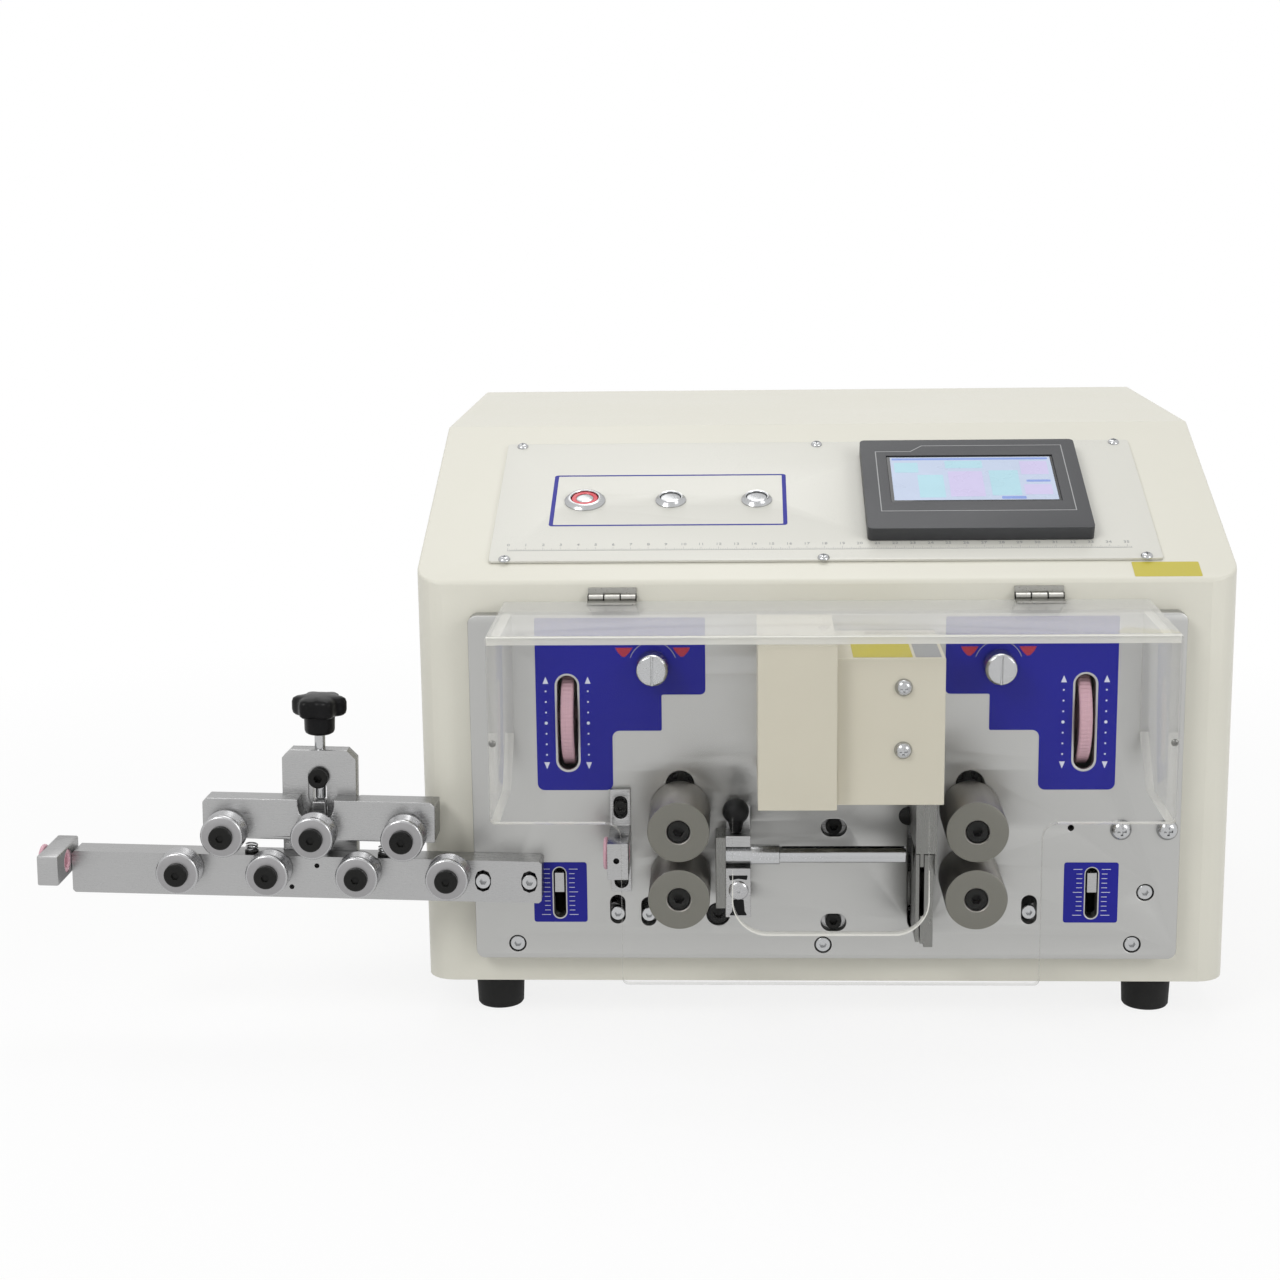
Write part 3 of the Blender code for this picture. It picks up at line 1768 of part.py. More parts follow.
def make_bracket(half):
    """Upright bracket in the bar's seat: it guides the carriage and holds the screw."""
    middle = bracket_middle
    cant = bracket_chamfer
    outline = [
        (middle - half, bracket_foot),
        (middle + half, bracket_foot),
        (middle + half, bracket_top - cant),
        (middle + half - cant, bracket_top),
        (middle - half + cant, bracket_top),
        (middle - half, bracket_top - cant),
    ]
    slot = oblong(middle, *bracket_slot, bracket_slot_width, 4)
    body = plate(
        "straightener_bracket",
        outline,
        bracket_front_y,
        bracket_front_y + bracket_thickness,
        "XZ",
        satin_aluminium,
        arm,
        (slot,),
    )
    centre_y = bracket_front_y + bracket_thickness / 2
    bore = rod(
        "stem_bore",
        stem_radius + gap,
        (middle, centre_y, bracket_slot[1] - stem_radius),
        (middle, centre_y, bracket_top + edge),
        parent=arm,
        sides=16,
    )
    cut(body, bore)


def make_carriage(half, wheels):
    """Carriage that slides on the bracket, with a notch in front and a tongue in the slot."""
    left, right = carriage_ends
    low, high = carriage_heights
    middle = bracket_middle
    notch = carriage_notch_width / 2
    cant = carriage_chamfer
    floor_arc = [
        (
            middle + notch * math.cos(angle),
            carriage_notch_floor + notch + notch * math.sin(angle),
        )
        for angle in (-math.pi * step / 8 for step in range(9))
    ]
    outline = [
        (left, low),
        (right, low),
        (right, high - cant),
        (right - cant, high),
        (middle + notch, high),
        *floor_arc,
        (middle - notch, high),
        (left + cant, high),
        (left, high - cant),
    ]
    split = carriage_front_y + carriage_sheet
    body = plate(
        "straightener_carriage", outline, carriage_front_y, split, "XZ", satin_aluminium, arm
    )
    rear = carriage_front_y + carriage_depth
    for label, start, end in (
        ("left", left, middle - half - gap),
        ("right", middle + half + gap, right),
    ):
        guide = box(
            "carriage_guide_" + label,
            (start, split - bite, low),
            (end, rear, high - cant),
            parent=arm,
        )
        join(body, guide)
    tongue_half = bracket_slot_width / 2 - gap
    tongue = box(
        "carriage_tongue",
        (middle - tongue_half, split - bite, tongue_heights[0]),
        (middle + tongue_half, rear - tongue_rear_inset, tongue_heights[1]),
        parent=arm,
    )
    below_notch = box(
        "tongue_root",
        (middle - tongue_half, split - bite, low + tongue_foot),
        (middle + tongue_half, rear - tongue_rear_inset, tongue_heights[0] + tongue_foot),
        parent=arm,
    )
    join(body, tongue, below_notch)
    wheel_pins(body, wheels, upper_wheel_height)


def make_star_knob():
    """Star knob with its screw, which lifts and lowers the carriage."""
    centre_y = bracket_front_y + bracket_thickness / 2
    foot = tongue_heights[1] + gap
    hub, base, top = knob_heights
    body = turned(
        "star_knob",
        [
            (0, base + bite - foot),
            (knob_hub_radius, base + bite - foot),
            (knob_hub_radius - knob_hub_taper, hub - foot),
            (stem_radius, hub - foot),
            (stem_radius, edge),
            (stem_radius - edge, 0),
            (0, 0),
        ],
        (bracket_middle, centre_y, foot),
        (0, 0, 1),
        black_plastic,
        arm,
    )
    steps = knob_lobes * 6
    outline = []
    for step in range(steps):
        angle = 2 * math.pi * step / steps
        radius = knob_radius - knob_lobe_depth * (1 - math.cos(knob_lobes * angle)) / 2
        outline.append(
            (
                bracket_middle + radius * math.cos(angle),
                centre_y + radius * math.sin(angle),
            )
        )
    star = plate("star", outline, base, top, "XY", parent=arm)
    soften(star, knob_edge, 1, 50)
    join(body, star)


def make_electrics():
    """Power supply, control board and mains inlet at the rear of the casing."""
    floor = base_thickness + gap
    width, length, height = supply_size
    supply = box(
        "power_supply",
        (supply_left, supply_rear - length, floor),
        (supply_left + width, supply_rear, floor + height),
        zinc_sheet,
    )
    soften(supply, supply_edge, 1)
    width, length = board_size
    left = board_right - width
    front = board_rear - length
    board_z = base_thickness + board_height
    surface = board_z + board_thickness
    board = box(
        "control_board", (left, front, board_z), (board_right, board_rear, surface), board_green
    )
    for number, x in enumerate((left + board_margin, board_right - board_margin)):
        for row, y in enumerate((front + board_margin, board_rear - board_margin)):
            post = rod(
                f"standoff_{number}_{row}",
                standoff_radius,
                (x, y, floor),
                (x, y, surface - board_thickness / 2),
                sides=8,
            )
            join(board, post)
    start, row_y = driver_places
    blocks = [(start + number * driver_pitch, row_y, *driver_size) for number in range(driver_count)]
    blocks += [
        (place_x, connector_y, width, connector_depth, connector_height)
        for place_x, width in connectors
    ]
    for number, (x, y, width, length, height) in enumerate(blocks):
        part = box(
            f"board_block_{number}",
            (left + x, front + y, surface - board_thickness / 2),
            (left + x + width, front + y + length, surface + height),
        )
        join(board, part)
    x, z = socket_centre
    rear = casing_depth - rear_inset
    flange = plate(
        "power_inlet",
        rectangle(
            (x - socket_flange[0] / 2, z - socket_flange[1] / 2),
            (x + socket_flange[0] / 2, z + socket_flange[1] / 2),
            socket_corner,
        ),
        rear + gap,
        socket_rear,
        "XZ",
        black_plastic,
    )
    body = box(
        "inlet_body",
        (
            x - socket_body[0] / 2,
            rear - socket_depth - socket_floor,
            z - socket_body[1] / 2,
        ),
        (x + socket_body[0] / 2, rear + gap + edge, z + socket_body[1] / 2),
    )
    join(flange, body)
    mouth = box(
        "inlet_mouth",
        (x - socket_mouth[0] / 2, rear - socket_depth, z - socket_mouth[1] / 2),
        (x + socket_mouth[0] / 2, socket_rear + edge, z + socket_mouth[1] / 2),
    )
    cut(flange, mouth)


make_casing()
make_base()
make_front_plate()
make_control_panel()
make_cover()
for side_label, side_sign in (("left", -1), ("right", 1)):
    make_hinge(side_label, side_sign * hinge_x)
    make_feed(side_label, side_sign)
    make_motor(
        "feed_motor_" + side_label,
        (side_sign * roller_x, 0, lower_roller_z),
        bearing_y[1] + gap,
        (0, 1, 0),
        shaft_radius + edge,
        shaft_into_motor + edge,
    )
make_bearing_plate()
make_cutter()
make_guard("blade_guard_left", *guard_left)
make_guard("blade_guard_right", *guard_right)
make_swing_pipe()
make_inlet_guide()
make_straightener()
make_electrics()
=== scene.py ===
"""Dressed scene of the bench machine that cuts and strips wire.

Lengths are millimetres in the casing's own frame: X from the casing's middle to the right, Y from
its front face to the rear, Z up from its underside. The matrices casing, slope and arm turn such
lengths into the world's metres. A mesh is written straight in world coordinates, so a texture's
Object coordinates are metres on every piece.
"""

import json
import math

import bmesh
import bpy
from mathutils import Matrix, Vector

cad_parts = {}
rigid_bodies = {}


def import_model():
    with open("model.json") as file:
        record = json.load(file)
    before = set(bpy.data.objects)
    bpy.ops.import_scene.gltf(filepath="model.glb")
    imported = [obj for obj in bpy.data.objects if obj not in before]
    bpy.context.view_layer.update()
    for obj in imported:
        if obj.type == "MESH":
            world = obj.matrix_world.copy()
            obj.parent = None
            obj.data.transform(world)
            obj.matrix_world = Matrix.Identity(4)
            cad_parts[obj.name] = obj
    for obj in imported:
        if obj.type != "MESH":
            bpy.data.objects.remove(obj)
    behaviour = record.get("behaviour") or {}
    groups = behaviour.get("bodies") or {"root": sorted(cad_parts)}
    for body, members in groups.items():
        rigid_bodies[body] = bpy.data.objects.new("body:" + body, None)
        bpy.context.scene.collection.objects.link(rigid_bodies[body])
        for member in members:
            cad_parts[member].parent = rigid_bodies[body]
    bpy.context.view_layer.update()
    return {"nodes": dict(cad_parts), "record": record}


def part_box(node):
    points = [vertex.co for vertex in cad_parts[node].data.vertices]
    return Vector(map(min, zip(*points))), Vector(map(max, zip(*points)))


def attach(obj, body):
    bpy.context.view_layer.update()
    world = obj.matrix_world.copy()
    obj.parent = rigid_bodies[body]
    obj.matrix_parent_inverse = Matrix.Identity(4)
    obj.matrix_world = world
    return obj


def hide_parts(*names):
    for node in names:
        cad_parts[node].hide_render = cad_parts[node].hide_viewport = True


for old in list(bpy.data.objects):
    bpy.data.objects.remove(old, do_unlink=True)

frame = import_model()
nodes = frame["nodes"]
body_of = {}
for body_name, members in frame["record"]["behaviour"]["bodies"].items():
    for member in members:
        body_of[member] = body_name

# The casing's frame, the slope's and the straightener arm's
mm = 0.001
shell_low, shell_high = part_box("casing_shell")
casing_origin = Vector(((shell_low.x + shell_high.x) / 2, shell_low.y, shell_low.z))
casing = Matrix.Translation(casing_origin) @ Matrix.Scale(mm, 4)
front_height = 234
slope_run = 174
slope_rise = 67
slope_angle = math.atan2(slope_rise, slope_run)
arm_pivot = (-178, 0, 68)
arm_lean = math.radians(1.4)
slope = casing @ Matrix.Translation((0, 0, front_height)) @ Matrix.Rotation(slope_angle, 4, "X")
arm = casing @ Matrix.Translation(arm_pivot) @ Matrix.Rotation(arm_lean, 4, "Y")

# Sizes of the part that the finer pieces follow
gap = 0.3
plate_face = -10.3
plate_back = -0.3
panel_face = 1.8
wire_line = 86.0
wire_y = -33.0
roller_x = 81.0
lower_roller_z = 66.85
upper_roller_z = 105.15
thumb_x = 143.6
thumb_y = 12.0
thumb_z = 155.5
pointer_x = 150.0
pressure_x = 95.5
pressure_z = 188.7
bracket_u = -107.8
relief_depth = 0.0002
sharp_angle = 35
PLATE_SCREWS = ((-174.7, 25.8), (-0.6, 25.2), (173.6, 25.8), (180.0, 56.5))
HEAD_SLOTS = ((5.3, 94.5), (5.3, 38.6))
SIDES = ((-1, "left"), (1, "right"))

# Directions
FRONT = (0, -1, 0)
REAR = (0, 1, 0)
UP = (0, 0, 1)
ACROSS = (1, 0, 0)


def linear(red, green, blue):
    """Linear colour of an sRGB colour given in 0 to 255."""
    channels = []
    for value in (red, green, blue):
        share = value / 255
        channels.append(share / 12.92 if share < 0.04045 else ((share + 0.055) / 1.055) ** 2.4)
    return (*channels, 1.0)


def link(tree, source, target):
    """Feed a socket with a number, a colour or another node's output."""
    if isinstance(source, (int, float, tuple)):
        target.default_value = source
    else:
        tree.links.new(source, target)


def added(tree, kind, inputs, **settings):
    """New shader node; its inputs are numbers, colours or other nodes' outputs."""
    node = tree.nodes.new("ShaderNode" + kind)
    for name, value in settings.items():
        setattr(node, name, value)
    for socket, source in inputs.items():
        link(tree, source, node.inputs[socket])
    return node


def noise(tree, place, scale, detail=3.0):
    """Noise value at a place; scale counts waves in a metre."""
    return added(tree, "TexNoise", {"Vector": place, "Scale": scale, "Detail": detail}).outputs["Fac"]


def spread(tree, value, low, high, first=0.3, last=0.7):
    """Value mapped from one range to another."""
    inputs = {"Value": value, "From Min": first, "From Max": last, "To Min": low, "To Max": high}
    return added(tree, "MapRange", inputs).outputs["Result"]


def mixed(tree, share, first, second):
    """Colour between two colours."""
    return added(tree, "Mix", {0: share, 6: first, 7: second}, data_type="RGBA").outputs[2]


def maths(tree, operation, first, second):
    """Result of a calculation with two values."""
    return added(tree, "Math", {0: first, 1: second}, operation=operation).outputs[0]


def shaded(colour, factor):
    """Colour made lighter or darker."""
    return (*(min(1.0, channel * factor) for channel in colour[:3]), 1.0)


def finish(
    name,
    colour,
    rough,
    patch=0.05,
    grain=900,
    fleck=0.04,
    bump=0.05,
    rough_spread=0.08,
    metallic=0.0,
    specular=0.5,
):
    """Procedural finish: broad patches, a fine grain in colour, roughness and relief.

    The colour is sRGB in 0 to 255. The grain is in waves a metre, for all axes or for each.
    """
    look = bpy.data.materials.new(name)
    look.use_nodes = True
    tree = look.node_tree
    where = tree.nodes.new("ShaderNodeTexCoord").outputs["Object"]
    scale = grain if isinstance(grain, tuple) else (grain,) * 3
    stretched = added(tree, "Mapping", {"Vector": where, "Scale": scale}).outputs["Vector"]
    fine = noise(tree, stretched, 1.0)
    broad = noise(tree, where, 14.0, 4.0)
    plain = linear(*colour)
    tones = [
        mixed(tree, spread(tree, value, 0, 1), shaded(plain, 1 - depth), shaded(plain, 1 + depth))
        for value, depth in ((broad, patch), (fine, fleck))
    ]
    wear = spread(tree, fine, -rough_spread, rough_spread)
    level = spread(tree, broad, rough - rough_spread / 2, rough + rough_spread / 2)
    relief = added(tree, "Bump", {"Strength": bump, "Distance": relief_depth, "Height": fine})
    inputs = {
        "Base Color": mixed(tree, 0.5, *tones),
        "Roughness": maths(tree, "ADD", wear, level),
        "Normal": relief.outputs["Normal"],
        "Metallic": metallic,
        "Specular IOR Level": specular,
    }
    for socket, source in inputs.items():
        link(tree, source, tree.nodes["Principled BSDF"].inputs[socket])
    return look


def metal(name, colour, rough, patch, grain, fleck):
    """Finish of bare metal, a little darker at grazing views."""
    look = finish(name, colour, rough, patch, grain, fleck, metallic=1.0)
    shader = look.node_tree.nodes["Principled BSDF"]
    shader.inputs["Specular Tint"].default_value = (0.78, 0.78, 0.78, 1)
    return look


def clear_finish(name, colour, face_on, edge_on, rough):
    """Clear plastic that turns more opaque and glossy towards grazing views."""
    look = finish(name, colour, rough, patch=0.01, fleck=0.01, bump=0.01, rough_spread=0.02)
    tree = look.node_tree
    facing = added(tree, "LayerWeight", {"Blend": 0.5}).outputs["Facing"]
    cover = spread(tree, maths(tree, "POWER", facing, 3), face_on, edge_on, 0.0, 1.0)
    link(tree, cover, tree.nodes["Principled BSDF"].inputs["Alpha"])
    return look


cream = finish("cream_paint", (213, 211, 199), 0.42, 0.012, fleck=0.010, bump=0.16)
guard_paint = finish("guard_paint", (203, 198, 181), 0.42, 0.012, fleck=0.010, bump=0.16)
film = finish("panel_film", (208, 207, 199), 0.36, 0.01, 2500)
plate_metal = metal("plate_aluminium", (179, 179, 177), 0.40, 0.02, (60, 900, 3200), 0.03)
satin_metal = metal("satin_aluminium", (172, 172, 172), 0.30, 0.03, (90, 1600, 3000), 0.04)
turned_metal = metal("turned_aluminium", (176, 176, 177), 0.26, 0.03, (400, 3000, 400), 0.03)
wheel_metal = metal("wheel_face", (155, 154, 155), 0.42, 0.03, 900, 0.04)
roller_metal = metal("roller_steel", (154, 151, 146), 0.42, 0.08, (500, 120, 500), 0.10)
roller_face = metal("roller_face", (118, 117, 110), 0.42, 0.05, 900, 0.08)
blade_metal = metal("blade_steel", (126, 126, 123), 0.30, 0.06, (900, 900, 90), 0.08)
bright_metal = metal("bright_steel", (184, 185, 186), 0.20, 0.04, 1500, 0.03)
hinge_metal = metal("hinge_steel", (168, 167, 162), 0.34, 0.04, 900, 0.05)
dark_gear = metal("gear_steel", (62, 61, 58), 0.36, 0.10, 900, 0.10)
zinc = metal("grey_case", (170, 172, 173), 0.36, 0.10, 60, 0.10)
black_screw = finish("black_oxide", (24, 24, 23), 0.34, 0.20, 1800, 0.25, 0.10, specular=0.16)
motor_paint = finish("motor_steel", (40, 40, 42), 0.42, 0.12, 900, 0.15, 0.10)
black_resin = finish("black_plastic", (18, 18, 19), 0.34, 0.12, 2200, 0.12, 0.20, specular=0.12)
bezel_resin = finish("dark_bezel", (50, 51, 54), 0.48, 0.05, 2600, 0.06, 0.25)
rubber = finish("black_rubber", (32, 32, 32), 0.78, 0.15, 1500, 0.18, 0.35, specular=0.3)
ceramic = finish("pink_ceramic", (206, 160, 172), 0.24, 0.04, 800, 0.03, 0.03)
nylon = finish("beige_nylon", (196, 158, 168), 0.46, 0.05, (2600, 60, 60), 0.10, 0.30)
board = finish("board_green", (30, 96, 52), 0.42, 0.10, 1200, 0.15, 0.15)
blue_print = finish("blue_print", (24, 25, 138), 0.42, 0.04, 1800, specular=0.24, fleck=0.05)
pale_print = finish("pale_print", (206, 208, 222), 0.45, 0.05, 1800)
grey_print = finish("grey_print", (150, 151, 152), 0.50, 0.10, 3000, 0.10)
red_print = finish("red_print", (158, 26, 52), 0.42, 0.05, 1800, 0.06)
yellow_print = finish("yellow_sticker", (186, 174, 56), 0.42, 0.04)
red_lens = finish("red_lens", (206, 52, 66), 0.12, 0.10, 300, 0.05, 0.02, 0.03)
screen_glass = finish("screen_glass", (26, 27, 30), 0.08, 0.05, 60, 0.05, 0.01, 0.02)
display_face = finish("display_face", (186, 198, 220), 0.30, 0.03, 40, 0.03, 0.01)
display_mint = finish("display_mint", (170, 208, 220), 0.30, 0.03, 40, 0.03, 0.01)
display_lilac = finish("display_lilac", (198, 190, 224), 0.30, 0.03, 40, 0.03, 0.01)
display_blue = finish("display_blue", (126, 150, 214), 0.30, 0.03, 40, 0.03, 0.01)
acrylic = clear_finish("clear_acrylic", (222, 223, 219), 0.004, 0.72, 0.06)
acrylic_lid = clear_finish("acrylic_lid", (226, 226, 224), 0.008, 0.8, 0.06)
acrylic_unseen = clear_finish("acrylic_unseen", (222, 223, 219), 0.0, 0.03, 0.06)
# Copies of the acrylic for cut edges: a lighter, more opaque one as painted highlight where edges face the
# light, a darker one as painted shade
acrylic_painted_highlight = clear_finish("acrylic_painted_highlight", (228, 227, 220), 0.82, 0.92, 0.16)
acrylic_painted_shade = clear_finish("acrylic_painted_shade", (206, 205, 200), 0.26, 0.55, 0.12)


def placed(name, data):
    """New object in the scene."""
    item = bpy.data.objects.new(name, data)
    bpy.context.scene.collection.objects.link(item)
    return item


def eased(item, size, steps=2):
    """Rounds an object's sharp edges."""
    rounding = item.modifiers.new("edges", "BEVEL")
    rounding.width = size * mm
    rounding.segments = steps
    rounding.limit_method = "ANGLE"
    rounding.angle_limit = math.radians(sharp_angle)
    rounding.use_clamp_overlap = False
    rounding.harden_normals = True


def piece(name, mesh, look, body="machine_body", bevel=0.0, sharp=sharp_angle):
    """Object of a mesh in world coordinates, shaded smooth up to an angle, riding on a body."""
    item = placed(name, mesh)
    mesh.name = name
    mesh.materials.clear()
    mesh.materials.append(look)
    mesh.shade_smooth()
    mesh.set_sharp_from_angle(angle=math.radians(sharp))
    if bevel:
        eased(item, bevel)
    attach(item, body)
    return item


def second_look(mesh, look, chosen):
    """Another look for the faces whose normal is chosen."""
    mesh.materials.append(look)
    for face in mesh.polygons:
        if chosen(face.normal):
            face.material_index = 1


def stands_for(item, node):
    """A finer piece takes a node's place."""
    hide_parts(node)


def finished(model, matrix):
    """Mesh of a bmesh, moved to the world."""
    bmesh.ops.remove_doubles(model, verts=model.verts, dist=0.0001)
    bmesh.ops.recalc_face_normals(model, faces=model.faces)
    mesh = bpy.data.meshes.new("piece")
    model.to_mesh(mesh)
    model.free()
    mesh.transform(matrix)
    return mesh


def towards(direction):
    """Rotation that turns the Z axis to a direction."""
    return Vector((0, 0, 1)).rotation_difference(Vector(direction)).to_matrix().to_4x4()


def turned(loops, start, direction, base=casing, sides=64, ring=False):
    """Mesh through loops of (radius, distance); a radius may be a function of the angle.

    The end loops close on the axis where their radius is 0, and a ring's last loop meets its first.
    """
    model = bmesh.new()
    rounds = []
    for shape, distance in loops:
        if shape == 0:
            rounds.append([model.verts.new((0, 0, distance))])
            continue
        points = []
        for step in range(sides):
            angle = 2 * math.pi * step / sides
            radius = shape(angle) if callable(shape) else shape
            points.append(model.verts.new((*around(0, 0, radius, angle), distance)))
        rounds.append(points)
    pairs = list(zip(rounds, rounds[1:]))
    if ring:
        pairs.append((rounds[-1], rounds[0]))
    for lower, upper in pairs:
        for step in range(sides):
            after = step + 1
            corners = (
                lower[step % len(lower)],
                lower[after % len(lower)],
                upper[after % len(upper)],
                upper[step % len(upper)],
            )
            model.faces.new(list(dict.fromkeys(corners)))
    return finished(model, base @ Matrix.Translation(start) @ towards(direction))


def rod(radius, length, start, direction, base=casing, sides=64):
    """Mesh of a plain round rod."""
    return turned([(0, 0), (radius, 0), (radius, length), (0, length)], start, direction, base, sides)


def block(low, high, base=casing):
    """Mesh of a box between two corners."""
    low = Vector(low)
    high = Vector(high)
    model = bmesh.new()
    bmesh.ops.create_cube(model, size=1.0)
    bmesh.ops.scale(model, vec=high - low, verts=model.verts)
    bmesh.ops.translate(model, vec=(low + high) / 2, verts=model.verts)
    return finished(model, base)


def joined(meshes):
    """One mesh of several."""
    model = bmesh.new()
    for mesh in meshes:
        model.from_mesh(mesh)
        bpy.data.meshes.remove(mesh)
    whole = bpy.data.meshes.new("piece")
    model.to_mesh(whole)
    model.free()
    return whole


def baked(drawing):
    """Mesh of a curve or a text, which is removed."""
    item = placed("drawing", drawing)
    graph = bpy.context.evaluated_depsgraph_get()
    mesh = bpy.data.meshes.new_from_object(item.evaluated_get(graph))
    bpy.data.objects.remove(item)
    bpy.data.curves.remove(drawing)
    return mesh


def around(x, y, radius, angle):
    """Point of a circle at an angle."""
    return (x + radius * math.cos(angle), y + radius * math.sin(angle))


def circle(x, y, radius, sides=48):
    """Points of a round outline."""
    return [around(x, y, radius, 2 * math.pi / sides * step) for step in range(sides)]


def arc_points(x, y, radius, first, last, steps=6):
    """Points along an arc between two angles in degrees."""
    return [
        around(x, y, radius, math.radians(first + (last - first) * step / steps))
        for step in range(steps + 1)
    ]


def oblong(x, low, high, width, steps=16):
    """Points of an upright slot with round ends."""
    radius = width / 2
    points = []
    for centre, first in ((high - radius, 0.0), (low + radius, math.pi)):
        for step in range(steps + 1):
            points.append(around(x, centre, radius, first + math.pi * step / steps))
    return points


def oblong_across(x, z, width, height):
    """Points of a level slot with round ends."""
    upright = oblong(0, -width / 2, width / 2, height)
    return [(x + along, z - across) for across, along in upright]


def filleted(corners, radius, steps=8):
    """Outline with its corners rounded; a corner's third value is a radius of its own."""
    points = []
    for index, corner in enumerate(corners):
        here = Vector(corner[:2])
        size = corner[2] if len(corner) == 3 else radius
        if size == 0:
            points.append(tuple(here))
            continue
        before = (Vector(corners[index - 1][:2]) - here).normalized()
        after = (Vector(corners[(index + 1) % len(corners)][:2]) - here).normalized()
        half = before.angle(after) / 2
        centre = here + (before + after).normalized() * size / math.sin(half)
        first = here + before * size / math.tan(half) - centre
        last = here + after * size / math.tan(half) - centre
        start = math.atan2(first.y, first.x)
        sweep = math.atan2(last.y, last.x) - start
        sweep = (sweep + math.pi) % (2 * math.pi) - math.pi
        for step in range(steps + 1):
            points.append(around(centre.x, centre.y, size, start + sweep * step / steps))
    return points


def rectangle(low, high, radius=0.0, steps=8):
    """Outline of a rectangle between two corners."""
    corners = [(low[0], low[1]), (high[0], low[1]), (high[0], high[1]), (low[0], high[1])]
    return filleted(corners, radius, steps)


PLANES = {
    "XY": Matrix(((1, 0, 0, 0), (0, 1, 0, 0), (0, 0, 1, 0), (0, 0, 0, 1))),
    "XZ": Matrix(((1, 0, 0, 0), (0, 0, -1, 0), (0, 1, 0, 0), (0, 0, 0, 1))),
    "YZ": Matrix(((0, 0, 1, 0), (1, 0, 0, 0), (0, 1, 0, 0), (0, 0, 0, 1))),
}
AWAY = {"XY": (0, 0, 1), "XZ": (0, 1, 0), "YZ": (1, 0, 0)}


def slab(outline, near, far, plane="XZ", base=casing, holes=(), edge=0.0):
    """Mesh of a flat piece with holes between two distances, its edges rounded by a radius."""
    curve = bpy.data.curves.new("outline", "CURVE")
    curve.dimensions = "2D"
    curve.fill_mode = "BOTH"
    curve.extrude = abs(far - near) / 2 - edge
    curve.bevel_depth = edge
    curve.bevel_resolution = 1
    curve.offset = -edge
    for points in (outline, *holes):
        spline = curve.splines.new("POLY")
        spline.points.add(len(points) - 1)
        for point, (x, y) in zip(spline.points, points):
            point.co = (x, y, 0, 1)
        spline.use_cyclic_u = True
    mesh = baked(curve)
    model = bmesh.new()
    model.from_mesh(mesh)
    bpy.data.meshes.remove(mesh)
    middle = Vector(AWAY[plane]) * (near + far) / 2
    return finished(model, base @ Matrix.Translation(middle) @ PLANES[plane])


def carved(mesh, *cutters):
    """Mesh with other meshes taken away."""
    work = placed("work", mesh)
    tools = []
    for cutter in cutters:
        tool = placed("tool", cutter)
        step = work.modifiers.new("cut", "BOOLEAN")
        step.operation = "DIFFERENCE"
        step.solver = "EXACT"
        step.object = tool
        tools.append(tool)
    graph = bpy.context.evaluated_depsgraph_get()
    result = bpy.data.meshes.new_from_object(work.evaluated_get(graph))
    for item in (work, *tools):
        bpy.data.objects.remove(item)
    return result


def hexagon(flats):
    """Radius of a hexagon by its width across flats."""

    def radius(angle):
        side = math.pi / 3
        return flats / 2 / math.cos((angle % side) - side / 2)

    return radius


def cross(length, width):
    """Radius of a cross recess."""

    def radius(angle):
        turn = (angle + math.pi / 4) % (math.pi / 2) - math.pi / 4
        if abs(math.tan(turn)) < width / length:
            return length / math.cos(turn)
        return width / abs(math.sin(turn))

    return radius


def socket_screw(start, direction, radius, height, flats, base=casing, depth=None):
    """Cylinder head with a hexagon socket; start lies under the head."""
    chamfer = radius * 0.08
    depth = depth or height * 0.6
    loops = [
        (0, 0), (radius, 0), (radius, height - chamfer), (radius - chamfer, height),
        (hexagon(flats), height), (hexagon(flats), height - depth), (0, height - depth),
    ]
    return turned(loops, start, direction, base, 48)


def dome_screw(start, direction, radius, height, recess, base=casing):
    """Round head with a recess; start lies under the head."""
    rim = 0.35
    rings = 6
    loops = [(0, 0), (radius, 0)]
    for step in range(rings + 1):
        share = math.pi / 2 * step / rings * 0.72
        loops.append((radius * math.cos(share), height * math.sin(share) / math.sin(1.131)))
    top = loops[-1][1]
    loops += [(recess, top), (recess, top - height * rim), (0, top - height * rim)]
    return turned(loops, start, direction, base, 48)


def smoothing_tool():
    """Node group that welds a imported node's faces and marks its sharp edges."""
    group = bpy.data.node_groups.new("welded_and_smooth", "GeometryNodeTree")
    for way in ("INPUT", "OUTPUT"):
        group.interface.new_socket("Geometry", in_out=way, socket_type="NodeSocketGeometry")
    start = group.nodes.new("NodeGroupInput")
    end = group.nodes.new("NodeGroupOutput")
    weld = group.nodes.new("GeometryNodeMergeByDistance")
    weld.inputs["Distance"].default_value = 0.000002
    plain = group.nodes.new("GeometryNodeSetMeshNormal")
    plain.mode = "SHARPNESS"
    plain.inputs["Remove Custom"].default_value = True
    plain.inputs["Face Sharpness"].default_value = False
    angle = group.nodes.new("GeometryNodeInputMeshEdgeAngle")
    steep = group.nodes.new("FunctionNodeCompare")
    steep.data_type = "FLOAT"
    steep.operation = "GREATER_THAN"
    steep.inputs[1].default_value = math.radians(sharp_angle)
    link(group, start.outputs[0], weld.inputs[0])
    link(group, weld.outputs[0], plain.inputs["Mesh"])
    link(group, angle.outputs[0], steep.inputs[0])
    link(group, steep.outputs[0], plain.inputs["Edge Sharpness"])
    link(group, plain.outputs[0], end.inputs[0])
    return group


SMOOTHING = smoothing_tool()


def dress(name, look, bevel=0.3, steps=2):
    """Finish of a node that stays: its material, smooth round faces and eased edges."""
    node = nodes[name]
    node.material_slots[0].material = look
    weld = node.modifiers.new("smooth", "NODES")
    weld.node_group = SMOOTHING
    if bevel:
        eased(node, bevel, steps)


